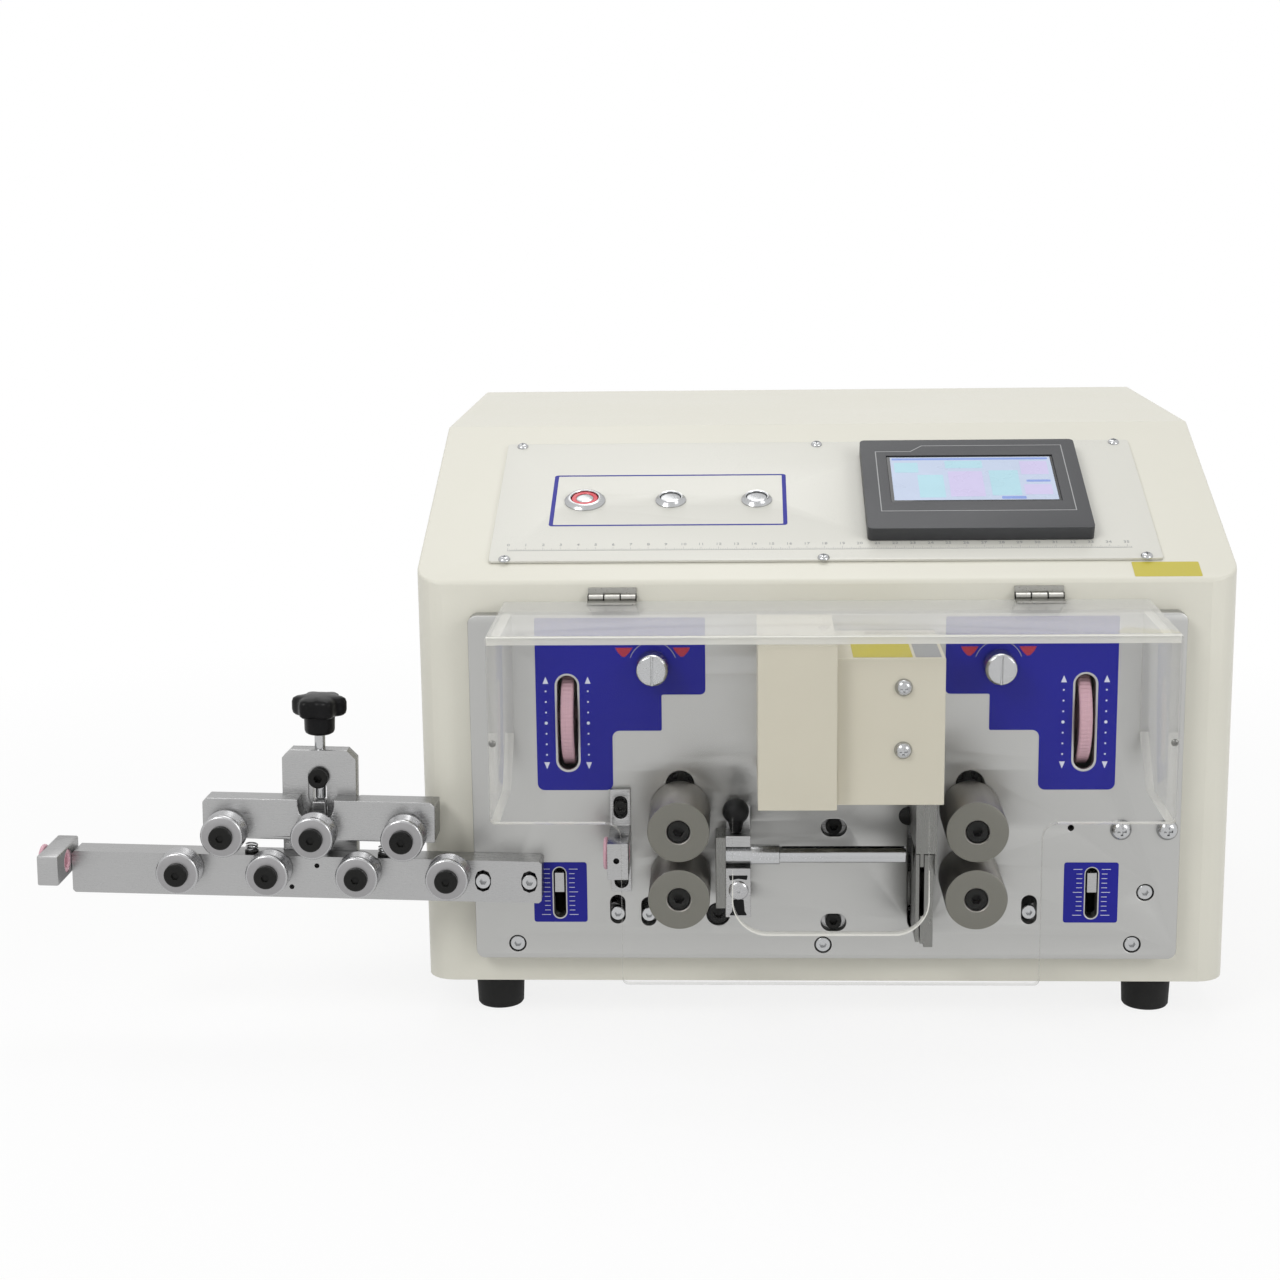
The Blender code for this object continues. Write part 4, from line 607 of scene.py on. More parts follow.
def make_camera():
    """Camera fitted to the photograph's corners and ruler."""
    yaw = math.radians(2.60)
    pitch = math.radians(11.90)
    roll = math.radians(-0.76)
    focal_pixels = 2281.6
    frame_pixels = 1280
    sensor = 36
    ahead = Vector(
        (-math.sin(yaw) * math.cos(pitch), math.cos(yaw) * math.cos(pitch), -math.sin(pitch))
    )
    right = Vector((math.cos(yaw), math.sin(yaw), 0))
    up = right.cross(ahead)
    level = math.cos(roll) * right + math.sin(roll) * up
    upright = -math.sin(roll) * right + math.cos(roll) * up
    camera = bpy.data.cameras.new("camera")
    camera.sensor_width = sensor
    camera.sensor_fit = "HORIZONTAL"
    camera.lens = focal_pixels * sensor / frame_pixels
    camera.clip_end = 50
    holder = placed("camera", camera)
    turn = Matrix((level, upright, -ahead)).transposed().to_4x4()
    holder.matrix_world = Matrix.Translation(casing @ Vector((-46.3, -1247.3, 463.8))) @ turn
    bpy.context.scene.camera = holder


def make_lamp(name, place, target, size, power):
    """Square soft lamp aimed at a point."""
    lamp = bpy.data.lights.new(name, "AREA")
    lamp.shape = "SQUARE"
    lamp.size = size
    lamp.energy = power
    holder = placed(name, lamp)
    aim = Vector(target) - Vector(place)
    holder.rotation_euler = aim.to_track_quat("-Z", "Y").to_euler()
    holder.location = place


def seen_ways(tree):
    """1 where a camera, glossy or transmission ray looks, and 0 for light on the object."""
    path = tree.nodes.new("ShaderNodeLightPath")
    total = path.outputs["Is Camera Ray"]
    for label in ("Is Glossy Ray", "Is Transmission Ray"):
        total = maths(tree, "MAXIMUM", total, path.outputs[label])
    return total


def make_stage():
    """Pale floor that turns white away from the object, soft lamps and a white world."""
    ground = bpy.data.materials.new("stage_floor")
    ground.use_nodes = True
    tree = ground.node_tree
    tree.nodes.remove(tree.nodes["Principled BSDF"])
    diffuse = added(tree, "BsdfDiffuse", {"Color": (0.88, 0.88, 0.88, 1)})
    white = added(tree, "Emission", {"Color": (1, 1, 1, 1)})
    position = tree.nodes.new("ShaderNodeNewGeometry").outputs["Position"]
    away = added(tree, "VectorMath", {0: position}, operation="LENGTH")
    whiter = spread(tree, away.outputs["Value"], 0.84, 1.0, 0.40, 1.00)
    share = maths(tree, "MULTIPLY", seen_ways(tree), whiter)
    blend = added(tree, "MixShader", {0: share, 1: diffuse.outputs[0], 2: white.outputs[0]})
    link(tree, blend.outputs[0], tree.nodes["Material Output"].inputs["Surface"])
    reach = 4.0
    model = bmesh.new()
    bmesh.ops.create_circle(model, cap_ends=True, radius=reach, segments=96)
    mesh = bpy.data.meshes.new("stage_floor")
    model.to_mesh(mesh)
    model.free()
    mesh.materials.append(ground)
    floor = placed("stage_floor", mesh)
    world = bpy.data.worlds.new("studio")
    bpy.context.scene.world = world
    world.use_nodes = True
    tree = world.node_tree
    background = tree.nodes["Background"]
    strength = spread(tree, seen_ways(tree), 0.5, 1.0, 0.0, 1.0)
    background.inputs["Color"].default_value = (1, 1, 1, 1)
    link(tree, strength, background.inputs["Strength"])
    middle = (0.0, 0.0, 0.15)
    make_lamp("key_lamp", (-1.3, -1.8, 2.0), middle, 1.0, 25)
    make_lamp("fill_lamp", (1.8, -1.6, 1.1), middle, 1.0, 14)
    make_lamp("top_lamp", (0.2, 0.4, 2.4), middle, 1.1, 12)
    make_lamp("rear_lamp", (-0.6, 1.3, 2.3), middle, 1.2, 5)
    bpy.context.scene.view_settings.view_transform = "Standard"


def dress_casing():
    """Casing with its long side edges bent, not sharp."""
    side = 229
    bend = 1.8
    model = bmesh.new()
    model.from_mesh(nodes["casing_shell"].data)
    for layer in list(model.loops.layers.float_vector):
        model.loops.layers.float_vector.remove(layer)
    model.transform(casing.inverted())
    bmesh.ops.remove_doubles(model, verts=model.verts, dist=0.002)
    bmesh.ops.dissolve_limit(
        model, angle_limit=math.radians(0.5), verts=model.verts, edges=model.edges
    )
    chosen = []
    for line in model.edges:
        if len(line.link_faces) != 2:
            continue
        middle = (line.verts[0].co + line.verts[1].co) / 2
        lifts = sorted(face.normal.z for face in line.link_faces)
        steep = line.calc_face_angle() > math.radians(40)
        if abs(middle.x) > side - 17 and steep and abs(lifts[0]) < 0.1 and lifts[1] > 0.3:
            chosen.append(line)
    bmesh.ops.bevel(
        model, geom=chosen, offset=bend, segments=4, profile=0.5, affect="EDGES", clamp_overlap=True
    )
    mesh = finished(model, casing)
    shell = piece("casing_skin", mesh, cream, sharp=30)
    stands_for(shell, "casing_shell")


def dress_plate():
    """Front plate with round holes, the ears of the thumb wheels and the pockets behind."""
    holes = [
        circle(x, z, 4.8) for x, z in PLATE_SCREWS
    ]
    holes += [oblong_across(x, z, 14.2, 10.0) for x, z in HEAD_SLOTS]
    holes += [circle(-60.0, 43.5, 6.6), circle(137.6, 94.3, 1.6)]
    holes += [
        oblong(x, z - 8.4, z + 8.4, 8.4) for x, z in ((-117.1, 46.3), (-99.4, 45.0), (115.3, 46.3))
    ]
    holes.append(circle(-48, 104, 4.3))
    holes.append(oblong(52.9, 34, 140, 11.8))
    for side in (-1, 1):
        holes.append(oblong(side * roller_x, 93.55, 127.6, 16))
        holes.append(circle(side * roller_x, lower_roller_z, 6.3))
        holes.append(oblong(side * thumb_x, thumb_z - 27, thumb_z + 27, 11))
        holes.append(oblong(side * pointer_x, 41.5, 70.8, 6.5))
        holes.append(circle(side * pressure_x, pressure_z, 4.3))
    outline = rectangle((-198.5, 17), (198.5, 217), 5)
    mesh = slab(outline, plate_face, plate_back, holes=holes, edge=0.8)
    pockets = []
    for side in (-1, 1):
        middle = side * thumb_x
        pockets.append(block((middle - 5.5, -8.1, thumb_z - 32.6), (middle + 5.5, 0.3, thumb_z + 32.6)))
    mesh = carved(mesh, *pockets)
    stands_for(piece("front_plate_face", mesh, plate_metal), "front_plate")
    for side, label in SIDES:
        for number, start in enumerate((129.0, 153.5)):
            low, high = sorted((side * start, side * (start + 4.5)))
            ear = block((low, plate_back, thumb_z - 7.5), (high, 18, thumb_z + 7.5))
            bore = rod(4.3, 9, (low - 2, thumb_y, thumb_z), ACROSS, sides=32)
            piece(f"thumb_ear_{label}_{number}", carved(ear, bore), plate_metal, bevel=0.3)


def dress_feed(label, side):
    """Rollers, gears, thumb wheel and pressure knob of one side."""
    upper_body = f"{label}_upper_roller"
    lower_body = f"{label}_lower_roller"
    for place, height, shaft_end, body, phase in (
        ("upper", upper_roller_z, 33.0, upper_body, -math.pi / 2),
        ("lower", lower_roller_z, 66.3, lower_body, math.pi / 2 + math.pi / 12),
    ):
        node = f"feed_roller_{place}_{label}"
        front = shaft_end + 55
        back = shaft_end + 10.9
        loops = [
            (0, front - 10), (6.5, front - 10), (6.5, front - 0.5), (7.0, front), (16.2, front),
            (16.8, front - 0.25), (17, front - 0.8), (17, back + 0.4), (16.6, back), (6, back),
            (6, 0.5), (5.5, 0), (0, 0),
        ]
        mesh = turned(loops, (side * roller_x, shaft_end, height), FRONT, sides=96)
        stands_for(piece(node + "_steel", mesh, roller_metal, body), node)
        second_look(mesh, roller_face, lambda normal: abs(normal.y) > 0.9)
        teeth = slab(gear_outline(side * roller_x, height, phase), 4, 16, edge=0.3)
        piece(node + "_gear", teeth, dark_gear, body)
        screw = socket_screw((side * roller_x, -45.2, height), FRONT, 6.2, 8.6, 5.2)
        piece(node + "_screw", screw, black_screw, body)
    dress_thumb_wheel(label, side)
    dress_pressure_knob(label, side)


def gear_outline(x, z, phase):
    """Outline of a coarse gear; one tooth points to the phase angle."""
    pitch = 2 * math.pi / 12
    shape = ((14.0, -0.33), (16.9, -0.23), (19.6, -0.12), (19.6, 0.12), (16.9, 0.23), (14.0, 0.33))
    points = []
    for tooth in range(12):
        for radius, share in shape:
            points.append(around(x, z, radius, phase + (tooth + share) * pitch))
    return points


def mark(outline, face):
    """Thin printed mark on a face of the front plate."""
    return slab(outline, face - 0.05, face + 0.03)


def dress_thumb_wheel(label, side):
    """Ribbed thumb wheel on its shaft, with the snail cam."""
    near = 112.5
    far = 160.5
    start = thumb_x - 3.5 - near
    body = f"{label}_gap_wheel"
    node = f"thumb_wheel_{label}"

    def ribbed(angle):
        return 28.6 - 0.35 * (0.5 - 0.5 * math.cos(72 * angle))

    loops = [
        (0, far - near), (3.6, far - near), (4, far - near - 0.4), (4, start + 7), (9, start + 7),
        (11, start + 5.6), (24.2, start + 5.6), (25.7, start + 7), (27.8, start + 7),
        (ribbed, start + 6.3), (ribbed, start + 0.7), (27.8, start), (25.7, start),
        (24.2, start + 1.4), (11, start + 1.4), (9, start), (4, start), (4, 0.4), (3.6, 0), (0, 0),
    ]
    mesh = turned(loops, (side * near, thumb_y, thumb_z), (side, 0, 0), sides=288)
    stands_for(piece(node + "_ribbed", mesh, nylon, body), node)
    travel = 3.6
    run = math.radians(275)
    fall = travel / math.radians(240)
    low_radius = 9.6 - fall * run
    steps = 72
    outline = []
    for step in range(steps):
        angle = 2 * math.pi * step / steps
        radius = 9.6 - fall * angle
        if angle > run:
            radius = low_radius + (9.6 - low_radius) * (angle - run) / (2 * math.pi - run)
        outline.append((thumb_y + radius * math.sin(angle), thumb_z + radius * math.cos(angle)))
    low, high = sorted((side * 115, side * 125))
    piece(node + "_cam", slab(outline[::-1], low, high, "YZ", edge=0.3), bright_metal, body)


def dress_pressure_knob(label, side):
    """Knurled metal knob with a slit across its face."""
    front = 40.9

    def knurled(angle):
        return 9 - 0.25 * (0.5 - 0.5 * math.cos(48 * angle))

    loops = [
        (0, front), (7.2, front), (8.2, front - 0.5), (8.7, front - 1.4), (knurled, front - 1.8),
        (knurled, 26.6), (8.4, 26.0), (7.4, 24.9), (4, 24.9), (4, 11.8), (7, 11.8), (7, 7.5),
        (4, 7.5), (4, 0), (0, 0),
    ]
    mesh = turned(loops, (side * pressure_x, 14, pressure_z), FRONT, sides=192)
    slit = block(
        (side * pressure_x - 0.6, -27.6, pressure_z - 10), (side * pressure_x + 0.6, -25.9, pressure_z + 10)
    )
    node = f"pressure_knob_{label}"
    item = piece(node + "_knurled", carved(mesh, slit), bright_metal, f"{label}_pressure_knob", 0.12)
    stands_for(item, node)


def dress_decals():
    """Blue printed fields on the front plate, with plain marks."""
    front = plate_face - 0.12
    for side, label in SIDES:
        corners = [
            (161.2, 215.5, 1), (161.2, 116.6, 4), (118.6, 116.6, 4), (118.6, 151.0, 4),
            (90.9, 151.0, 1), (90.9, 171.7, 1), (66.4, 171.7, 3), (66.4, 215.5, 1),
        ]
        outline = filleted([(side * x, z, radius) for x, z, radius in corners], 1)
        holes = [
            oblong(side * thumb_x, thumb_z - 28.4, thumb_z + 28.4, 13.8),
            circle(side * pressure_x, pressure_z, 4.6),
        ]
        field = slab(outline, front, plate_face - 0.01, holes=holes)
        piece(f"blue_field_{label}", field, blue_print)
        marks = []
        for column in (-12.0, 11.6):
            x = side * thumb_x + column
            for step in range(-3, 4):
                size = 0.9 if step == 0 else 0.5
                marks.append(mark(circle(x, thumb_z + 6.1 * step, size, 16), front))
            for way in (-1, 1):
                tip = thumb_z + way * 26.6
                arrow = [(x, tip), (x - 1.6, tip - way * 4), (x + 1.6, tip - way * 4)]
                marks.append(mark(arrow, front))
        piece(f"scale_marks_{label}", joined(marks), pale_print)
        wedges = []
        for way in (-1, 1):
            points = [
                (side * pressure_x + way * across, pressure_z + up)
                for across, up in (
                    (11.2, 9.8), (20.8, 9.8), (19.4, 7.2), (17.2, 4.8), (15.4, 4.6), (13.2, 6.8),
                )
            ]
            wedges.append(mark(points, front))
        arc = []
        for radius, first, last in ((13.0, 18, 162), (13.35, 162, 18)):
            arc += arc_points(side * pressure_x, pressure_z, radius, first, last, 24)
        piece(f"pressure_arc_{label}", mark(arc, front), grey_print)
        piece(f"pressure_marks_{label}", joined(wedges), red_print)
        dress_pointer_scale(side, label, front)


def dress_pointer_scale(side, label, front):
    """Small blue field with tick lines round a pointer's slot."""
    low, high = sorted((side * 134.4, side * 164.8))
    outline = rectangle((low, 38.8), (high, 74.2), 1.5)
    slot = oblong(side * pointer_x, 40.6, 71.7, 8.3)
    field = slab(outline, front, plate_face - 0.01, holes=(slot,))
    piece(f"pointer_field_{label}", field, blue_print)
    ticks = []
    for step in range(11):
        z = 43.2 + step * 2.7
        length = 5.0 if step % 5 == 0 else 3.2
        for way in (-1, 1):
            near = side * pointer_x + way * 5.4
            start, end = sorted((near, near + way * length))
            ticks.append(block((start, front - 0.05, z - 0.16), (end, front + 0.03, z + 0.16)))
    piece(f"pointer_ticks_{label}", joined(ticks), pale_print)


def dress_panel():
    """Control panel sheet, rings and caps of the buttons."""
    screen = rectangle((89.5 - 59.3, 92.5 - 48.3), (89.5 + 59.3, 92.5 + 48.3))
    buttons = {
        "power": (-138.0, 12.0, 9.2, 7.8),
        "stop": (-87.5, 9.0, 7.6, 5.8),
        "start": (-37.0, 9.0, 7.6, 5.8),
    }
    line = 88.0
    bores = [circle(x, line, (cap + barrel) / 2) for x, _, barrel, cap in buttons.values()]
    outline = rectangle((-189, 19.5), (189, 159.5), 2)
    sheet = slab(outline, gap, panel_face, "XY", slope, (screen, *bores), 0.25)
    stands_for(piece("panel_sheet", sheet, film), "control_panel")
    for label, (x, ring, barrel, cap) in buttons.items():
        bore = cap + gap
        crest = panel_face + 2.8
        loops = [
            (bore, crest - 0.5), (bore + 0.3, crest - 0.1), (bore + 0.8, crest),
            (ring - 1.9, crest - 0.5), (ring - 0.5, panel_face + 1.1), (ring, panel_face + 0.6),
            (ring, panel_face), (barrel, panel_face), (barrel, -14), (bore, -14),
        ]
        collar = turned(loops, (x, line, 0), UP, slope, 72, ring=True)
        piece(f"{label}_ring", collar, bright_metal)
        crown = crest - 0.4
        inner = cap - 2.8 if label == "power" else cap
        loops = [(0, crown), (inner * 0.6, crown - 0.15)]
        loops += [(inner - 0.5, crown - 0.3), (inner, crown - 0.6), (inner, -10), (0, -10)]
        body = f"{label}_push"
        centre = turned(loops, (x, line, 0), UP, slope, 72)
        stands_for(piece(f"{label}_cap", centre, bright_metal, body), f"{label}_button")
        if label == "power":
            loops = [
                (inner + 0.05, crown - 0.7), (inner + 0.4, crown - 0.35),
                (cap - 0.4, crown - 0.45), (cap, crown - 0.9), (cap, -9), (inner + 0.05, -9),
            ]
            lens = turned(loops, (x, line, 0), UP, slope, 72, ring=True)
            piece("power_lens", lens, red_lens, body)


def dress_slope():
    """Blue frame, ruler with plain numbers, screws and sticker of the sloped face."""
    top = panel_face + 0.1
    outline = rectangle((-157.5, 58.5), (-19.5, 119), 2.0)
    inside = rectangle((-155.1, 59.8), (-21.9, 117.7), 0.8)
    piece("blue_frame", slab(outline, panel_face - 0.02, top, "XY", slope, (inside,)), blue_print)
    marks = [block((-179, 30.9, panel_face - 0.02), (173.4, 31.05, top), slope)]
    for step in range(353):
        height = 1.4
        if step % 5 == 0:
            height = 2.2
        if step % 10 == 0:
            height = 3.2
        x = -179 + step
        marks.append(block((x - 0.09, 31.0, panel_face - 0.02), (x + 0.09, 31.0 + height, top), slope))
    piece("ruler_marks", joined(marks), grey_print)
    numbers = []
    for step in range(36):
        words = bpy.data.curves.new("number", "FONT")
        words.body = str(step)
        words.size = 3.6
        words.align_x = "CENTER"
        words.extrude = 0.04
        words.resolution_u = 2
        mesh = baked(words)
        mesh.transform(slope @ Matrix.Translation((-179 + 10 * step, 36.2, panel_face + 0.04)))
        numbers.append(mesh)
    piece("ruler_numbers", joined(numbers), grey_print)
    screws = []
    for x in (-180, 0, 180):
        for s in (21.5, 156):
            screws.append(
                dome_screw((x, s, panel_face), (0, 0, 1), 3.4, 1.9, cross(1.7, 0.42), slope)
            )
    piece("panel_screws", joined(screws), bright_metal)
    sticker = rectangle((171, 2.5), (208, 18), 0.8)
    piece("plain_sticker", slab(sticker, 0.02, 0.14, "XY", slope), yellow_print)


def dress_screen():
    """Glass, display with plain coloured fields and the line on the bezel."""
    dress("touch_screen", bezel_resin, 0)
    floor = 9.1
    left, right = 42.5, 137.0
    low, high = 72.5, 124.0
    glass = rectangle((40.6, 70.6), (138.4, 125.6), 0.6)
    piece("screen_glass", slab(glass, floor + 0.02, floor + 0.5, "XY", slope, edge=0.1), screen_glass)
    face = floor + 0.55
    piece(
        "display",
        slab(rectangle((left, low), (right, high)), floor + 0.4, face, "XY", slope),
        display_face,
    )
    fields = {
        "mint": (display_mint, ((2, 33, 14, 12), (15, 3, 15, 27), (57, 5, 17, 30), (32, 38, 22, 9))),
        "lilac": (display_lilac, ((33, 4, 20, 30), (76, 6, 16, 12), (76, 30, 16, 16))),
        "blue": (display_blue, ((1, 48.2, 92, 2.2), (62, 1.0, 14, 3.0), (78, 21, 14, 2.4))),
    }
    for label, (look, spots) in fields.items():
        shapes = [
            slab(
                rectangle((left + x, low + y), (left + x + width, low + y + height), 0.5, 3),
                face - 0.02,
                face + 0.04,
                "XY",
                slope,
            )
            for x, y, width, height in spots
        ]
        piece(f"display_{label}", joined(shapes), look)
    path = [(34, 59), (145.5, 59), (145.5, 138), (62, 138), (55, 131), (34, 131)]
    inner = [(34.6, 59.6), (144.9, 59.6), (144.9, 137.4), (62.3, 137.4), (55.3, 130.4), (34.6, 130.4)]
    groove = slab(path, 10.08, 10.16, "XY", slope, (inner,))
    piece("bezel_line", groove, grey_print)


def dress_cover():
    """Clear cover of glued sheets on its hinges, with painted highlights on its upward cut edges and round
    the window, and painted shade on its other cut edges.
    """
    half = 178.7
    low = 123
    front = -100
    back = -95
    corner = 3
    outline = filleted(
        [
            (-half, low, corner), (-110, low, 8), (-110, 34.5, corner), (110, 34.5, corner),
            (110, low, 8), (half, low, corner), (half, 223, 0.6), (-half, 223, 0.6),
        ],
        corner,
    )
    window = filleted(
        [(-51.2, 63, 18), (51.2, 63, 18), (51.2, 127.5, corner), (-51.2, 127.5, corner)], corner, 12
    )
    lid = rectangle((-half, back + 0.05), (half, -0.6), 0.6)
    cheek = [(back + 0.05, low), (-35, low), (-10.9, 150), (-10.9, 217.95), (back + 0.05, 217.95)]
    sheets = {
        "front": slab(outline, front, back, holes=(window,), edge=0.35),
        "lid": slab(lid, 218, 223, "XY", edge=0.35),
        "cheek_left": slab(cheek, -half, -half + 5, "YZ", edge=0.35),
        "cheek_right": slab(cheek, half - 5, half, "YZ", edge=0.35),
    }
    normals = {"front": 1, "lid": 2, "cheek_left": 0, "cheek_right": 0}
    for label, mesh in sheets.items():
        item = piece(f"cover_{label}", mesh, acrylic_lid if label == "lid" else acrylic, "cover")
        for look in (acrylic_painted_highlight, acrylic_painted_shade, acrylic_unseen):
            mesh.materials.append(look)
        # Cut edges facing up, the lid's front edge and the undersides of the cheeks and outer front get the
        # painted highlight, the rest painted shade; those under the window's top are made nearly clear
        for face in mesh.polygons:
            if abs(face.normal[normals[label]]) > 0.9:
                continue
            place = casing.inverted() @ face.center
            under = face.normal.z < -0.3
            lit = face.normal.z > 0.5 or (label == "lid" and face.normal.y < -0.5)
            lit = lit or (under and (label.startswith("cheek") or abs(place.x) > 141))
            if label == "front" and under and abs(place.x) < 55 and place.z > 100:
                face.material_index = 3
            else:
                face.material_index = 1 if lit else 2
        if label == "front":
            stands_for(item, "safety_cover")
    # Thin bright band on the front face round the window's lower edge, widest at the bottom: a painted
    # highlight of the polished cut edge
    inner = [(-51.2, 98), (-51.2, 81)]
    outer = [(-51.4, 98), (-51.8, 81)]
    for centre, first in ((-33.2, 180), (33.2, 270)):
        for step in range(1, 13):
            angle = math.radians(first + 90 * step / 12)
            width = 0.6 + 0.5 * abs(math.sin(angle)) ** 6
            for path, radius in ((inner, 18.0), (outer, 18.0 + width)):
                path.append(around(centre, 81, radius, angle))
    inner.append((51.2, 98))
    outer.append((51.5, 98))
    rim = slab(inner + outer[::-1], front - 0.06, front - 0.01)
    piece("window_painted_highlight", rim, acrylic_painted_highlight, "cover")
    corners = [
        dome_screw((side * (half - 2.5), front, 166.8), FRONT, 1.9, 1.0, cross(1.0, 0.3))
        for side in (-1, 1)
    ]
    piece("cover_screws", joined(corners), blade_metal, "cover")
    for label in ("left", "right"):
        dress(f"hinge_fixed_leaf_{label}", hinge_metal, 0.12)
        dress(f"hinge_moving_leaf_{label}", hinge_metal, 0.12)
    # Black bands flush with the knuckles where they meet: painted shade of the gaps between knuckles
    rings = []
    for middle in (-118, 118):
        for place in (-13.6, -5.0, 4.4, 13.0):
            start = (middle + place, -3, 225.3)
            rings.append(rod(2.12, 0.6, start, ACROSS, sides=24))
    piece("hinge_gap_shade", joined(rings), black_screw)


def dress_guards():
    """Guard boxes with their screws."""
    dress("blade_guard_left", guard_paint, 0.45)
    dress("blade_guard_right", guard_paint, 0.45)
    for number, z in enumerate((192.6, 158.8)):
        head = dome_screw((38.2, -84.0, z), FRONT, 4.7, 3.4, cross(2.2, 0.6))
        piece(f"guard_screw_{number}", head, bright_metal)
    top = 208.0
    for name, left, right, look in (
        ("yellow", 12, 43, yellow_print),
        ("grey", 44.5, 58, grey_print),
    ):
        sheet = rectangle((left, -81), (right, -26), 0.8)
        piece(f"guard_sticker_{name}", slab(sheet, top + 0.02, top + 0.14, "XY"), look)


def dress_screws():
    """Screws in the front plate's holes and slots."""
    small = [
        socket_screw((x, plate_face + 4.0, z), FRONT, 4.2, 3.6, 3.6)
        for x, z in PLATE_SCREWS
    ]
    piece("plate_screws", joined(small), bright_metal)
    large = [
        socket_screw((x, plate_face + 5.0, z + 0.4), FRONT, 4.6, 4.2, 4.2) for x, z in HEAD_SLOTS
    ]
    large.append(socket_screw((-60.0, plate_face + 6.5, 43.5), FRONT, 6.1, 5.5, 5.4))
    piece("head_screws", joined(large), black_screw)
    seats = [
        slab(oblong_across(x, z, 13.8, 9.6), plate_face + 5.0, plate_face + 6.0) for x, z in HEAD_SLOTS
    ]
    piece("head_screw_seats", joined(seats), satin_metal)
    dimple = slab(circle(177.4, 150.8, 2.2), plate_face - 0.04, plate_face - 0.01)
    piece("plate_dimple", dimple, wheel_metal)
    # Flat black disc on the plate face: painted shade of a hole partly hidden behind the blade holder
    shade = slab(circle(46.9, 101.4, 5.4), plate_face - 0.05, plate_face - 0.01)
    piece("painted_hole_shade", shade, black_screw)
    catches = [
        dome_screw((x, plate_face, z), FRONT, 6.0, 4.4, cross(2.9, 0.7))
        for x, z in ((165.3, 93.4), (191.0, 93.4))
    ]
    piece("catch_screws", joined(catches), bright_metal)
    slotted = [
        socket_screw((x, plate_face + 4.2, z), FRONT, 3.95, 3.8, 3.4)
        for x, z in ((-117.1, 43.6), (-99.4, 43.0), (115.3, 44.6))
    ]
    piece("slot_screws", joined(slotted), bright_metal)


def eyelet(start, base):
    """Smooth ceramic eyelet with a round-lipped mouth."""
    loops = [(4, 12.6)]
    loops += arc_points(5.1, 13.2, 1.1, 180, 90, 5)
    loops += [(6.5, 14.1), (6.5, 2.5)]
    loops += arc_points(7.9, 1.25, 1.2, 80, -80, 8)
    loops += arc_points(5.4, 1.4, 1.4, -90, -180, 6)
    return turned(loops, start, (1, 0, 0), base, 64, ring=True)


def dress_straightener():
    """Straightener: bar, carriage, wheels with black screws, star knob and end eyelet."""
    dress("straightener_bar", satin_metal, 0)
    dress("straightener_carriage", satin_metal, 0.7, 3)
    dress_bracket()
    dress("arm_eyelet_block", satin_metal, 0)
    mesh = eyelet((-261.9, wire_y, 8.2), arm)
    stands_for(piece("arm_eyelet_glazed", mesh, ceramic), "arm_eyelet")
    lower = [-32.6 - 50.4 * number for number in range(4)]
    upper = [-57.4 - 50.4 * number for number in range(3)]
    rows = (("lower", lower, 4.3, "machine_body"), ("upper", upper, 26.4, "carriage"))
    for place, row, height, holder in rows:
        heads = []
        for number, along in enumerate(reversed(row)):
            name = f"{place}_wheel_{number + 1}"
            body = f"{place}_straightener_wheel_{number + 1}"
            loops = [
                (3.3, 14.1), (10.9, 14.1), (11.7, 13.6), (12.1, 12.8), (12.1, 11.6), (11.8, 11.2),
                (8.9, 7.7), (8.9, 6.5), (11.8, 2.7), (12.1, 2.3), (12.1, 0.7), (11.4, 0), (3.3, 0),
            ]
            wheel = turned(loops, (along, -26.9, height), FRONT, arm, 72, ring=True)
            stands_for(piece(name + "_turned", wheel, turned_metal, body), name)
            second_look(wheel, wheel_metal, lambda normal: normal.y < -0.97)
            heads.append(
                socket_screw((along, -41.25, height), FRONT, 6.5, 3.6, 4.2, arm, 1.4)
            )
        piece(f"{place}_wheel_screws", joined(heads), black_screw, holder)
    clamps = [
        socket_screw((along, -21.0, height), FRONT, 4.3, 5.2, 3.6, arm)
        for along, height in ((-13.8, -0.5), (12.3, -0.5))
    ]
    piece("arm_clamp_screws", joined(clamps), bright_metal)
    dress_star_knob()


def dress_bracket():
    """Bracket with a stepped slot and its black screw, and the springs under the carriage."""
    half = 21
    top = 70.4
    cant = 5
    front = -14.0
    floor = front + 1.7
    outline = [
        (bracket_u - half, -10), (bracket_u + half, -10), (bracket_u + half, top - cant),
        (bracket_u + half - cant, top), (bracket_u - half + cant, top),
        (bracket_u - half, top - cant),
    ]
    slot = oblong(bracket_u, 14, 52, 8)
    body = slab(outline, front, front + 10, base=arm, holes=(slot,), edge=0.7)
    recess = slab(oblong(bracket_u, 36.8, 61.2, 12.6), front - 1, floor, base=arm)
    mesh = carved(body, recess)
    stands_for(piece("bracket_milled", mesh, satin_metal), "straightener_bracket")
    screw = socket_screw((bracket_u, floor, 54.7), FRONT, 5.6, 6.0, 4.4, arm)
    piece("bracket_screw", screw, black_screw)
    coils = []
    washers = []
    for way in (-1, 1):
        along = bracket_u + way * 37.7
        coils.append(coil_spring((along, -20.5, 13.2), 3.1, 0.5, 3.5, 2.5))
        washers.append(rod(3.9, 1.2, (along, -20.5, 11.9), UP, arm))
    piece("carriage_springs", joined(coils), bright_metal)
    piece("spring_washers", joined(washers), black_screw)


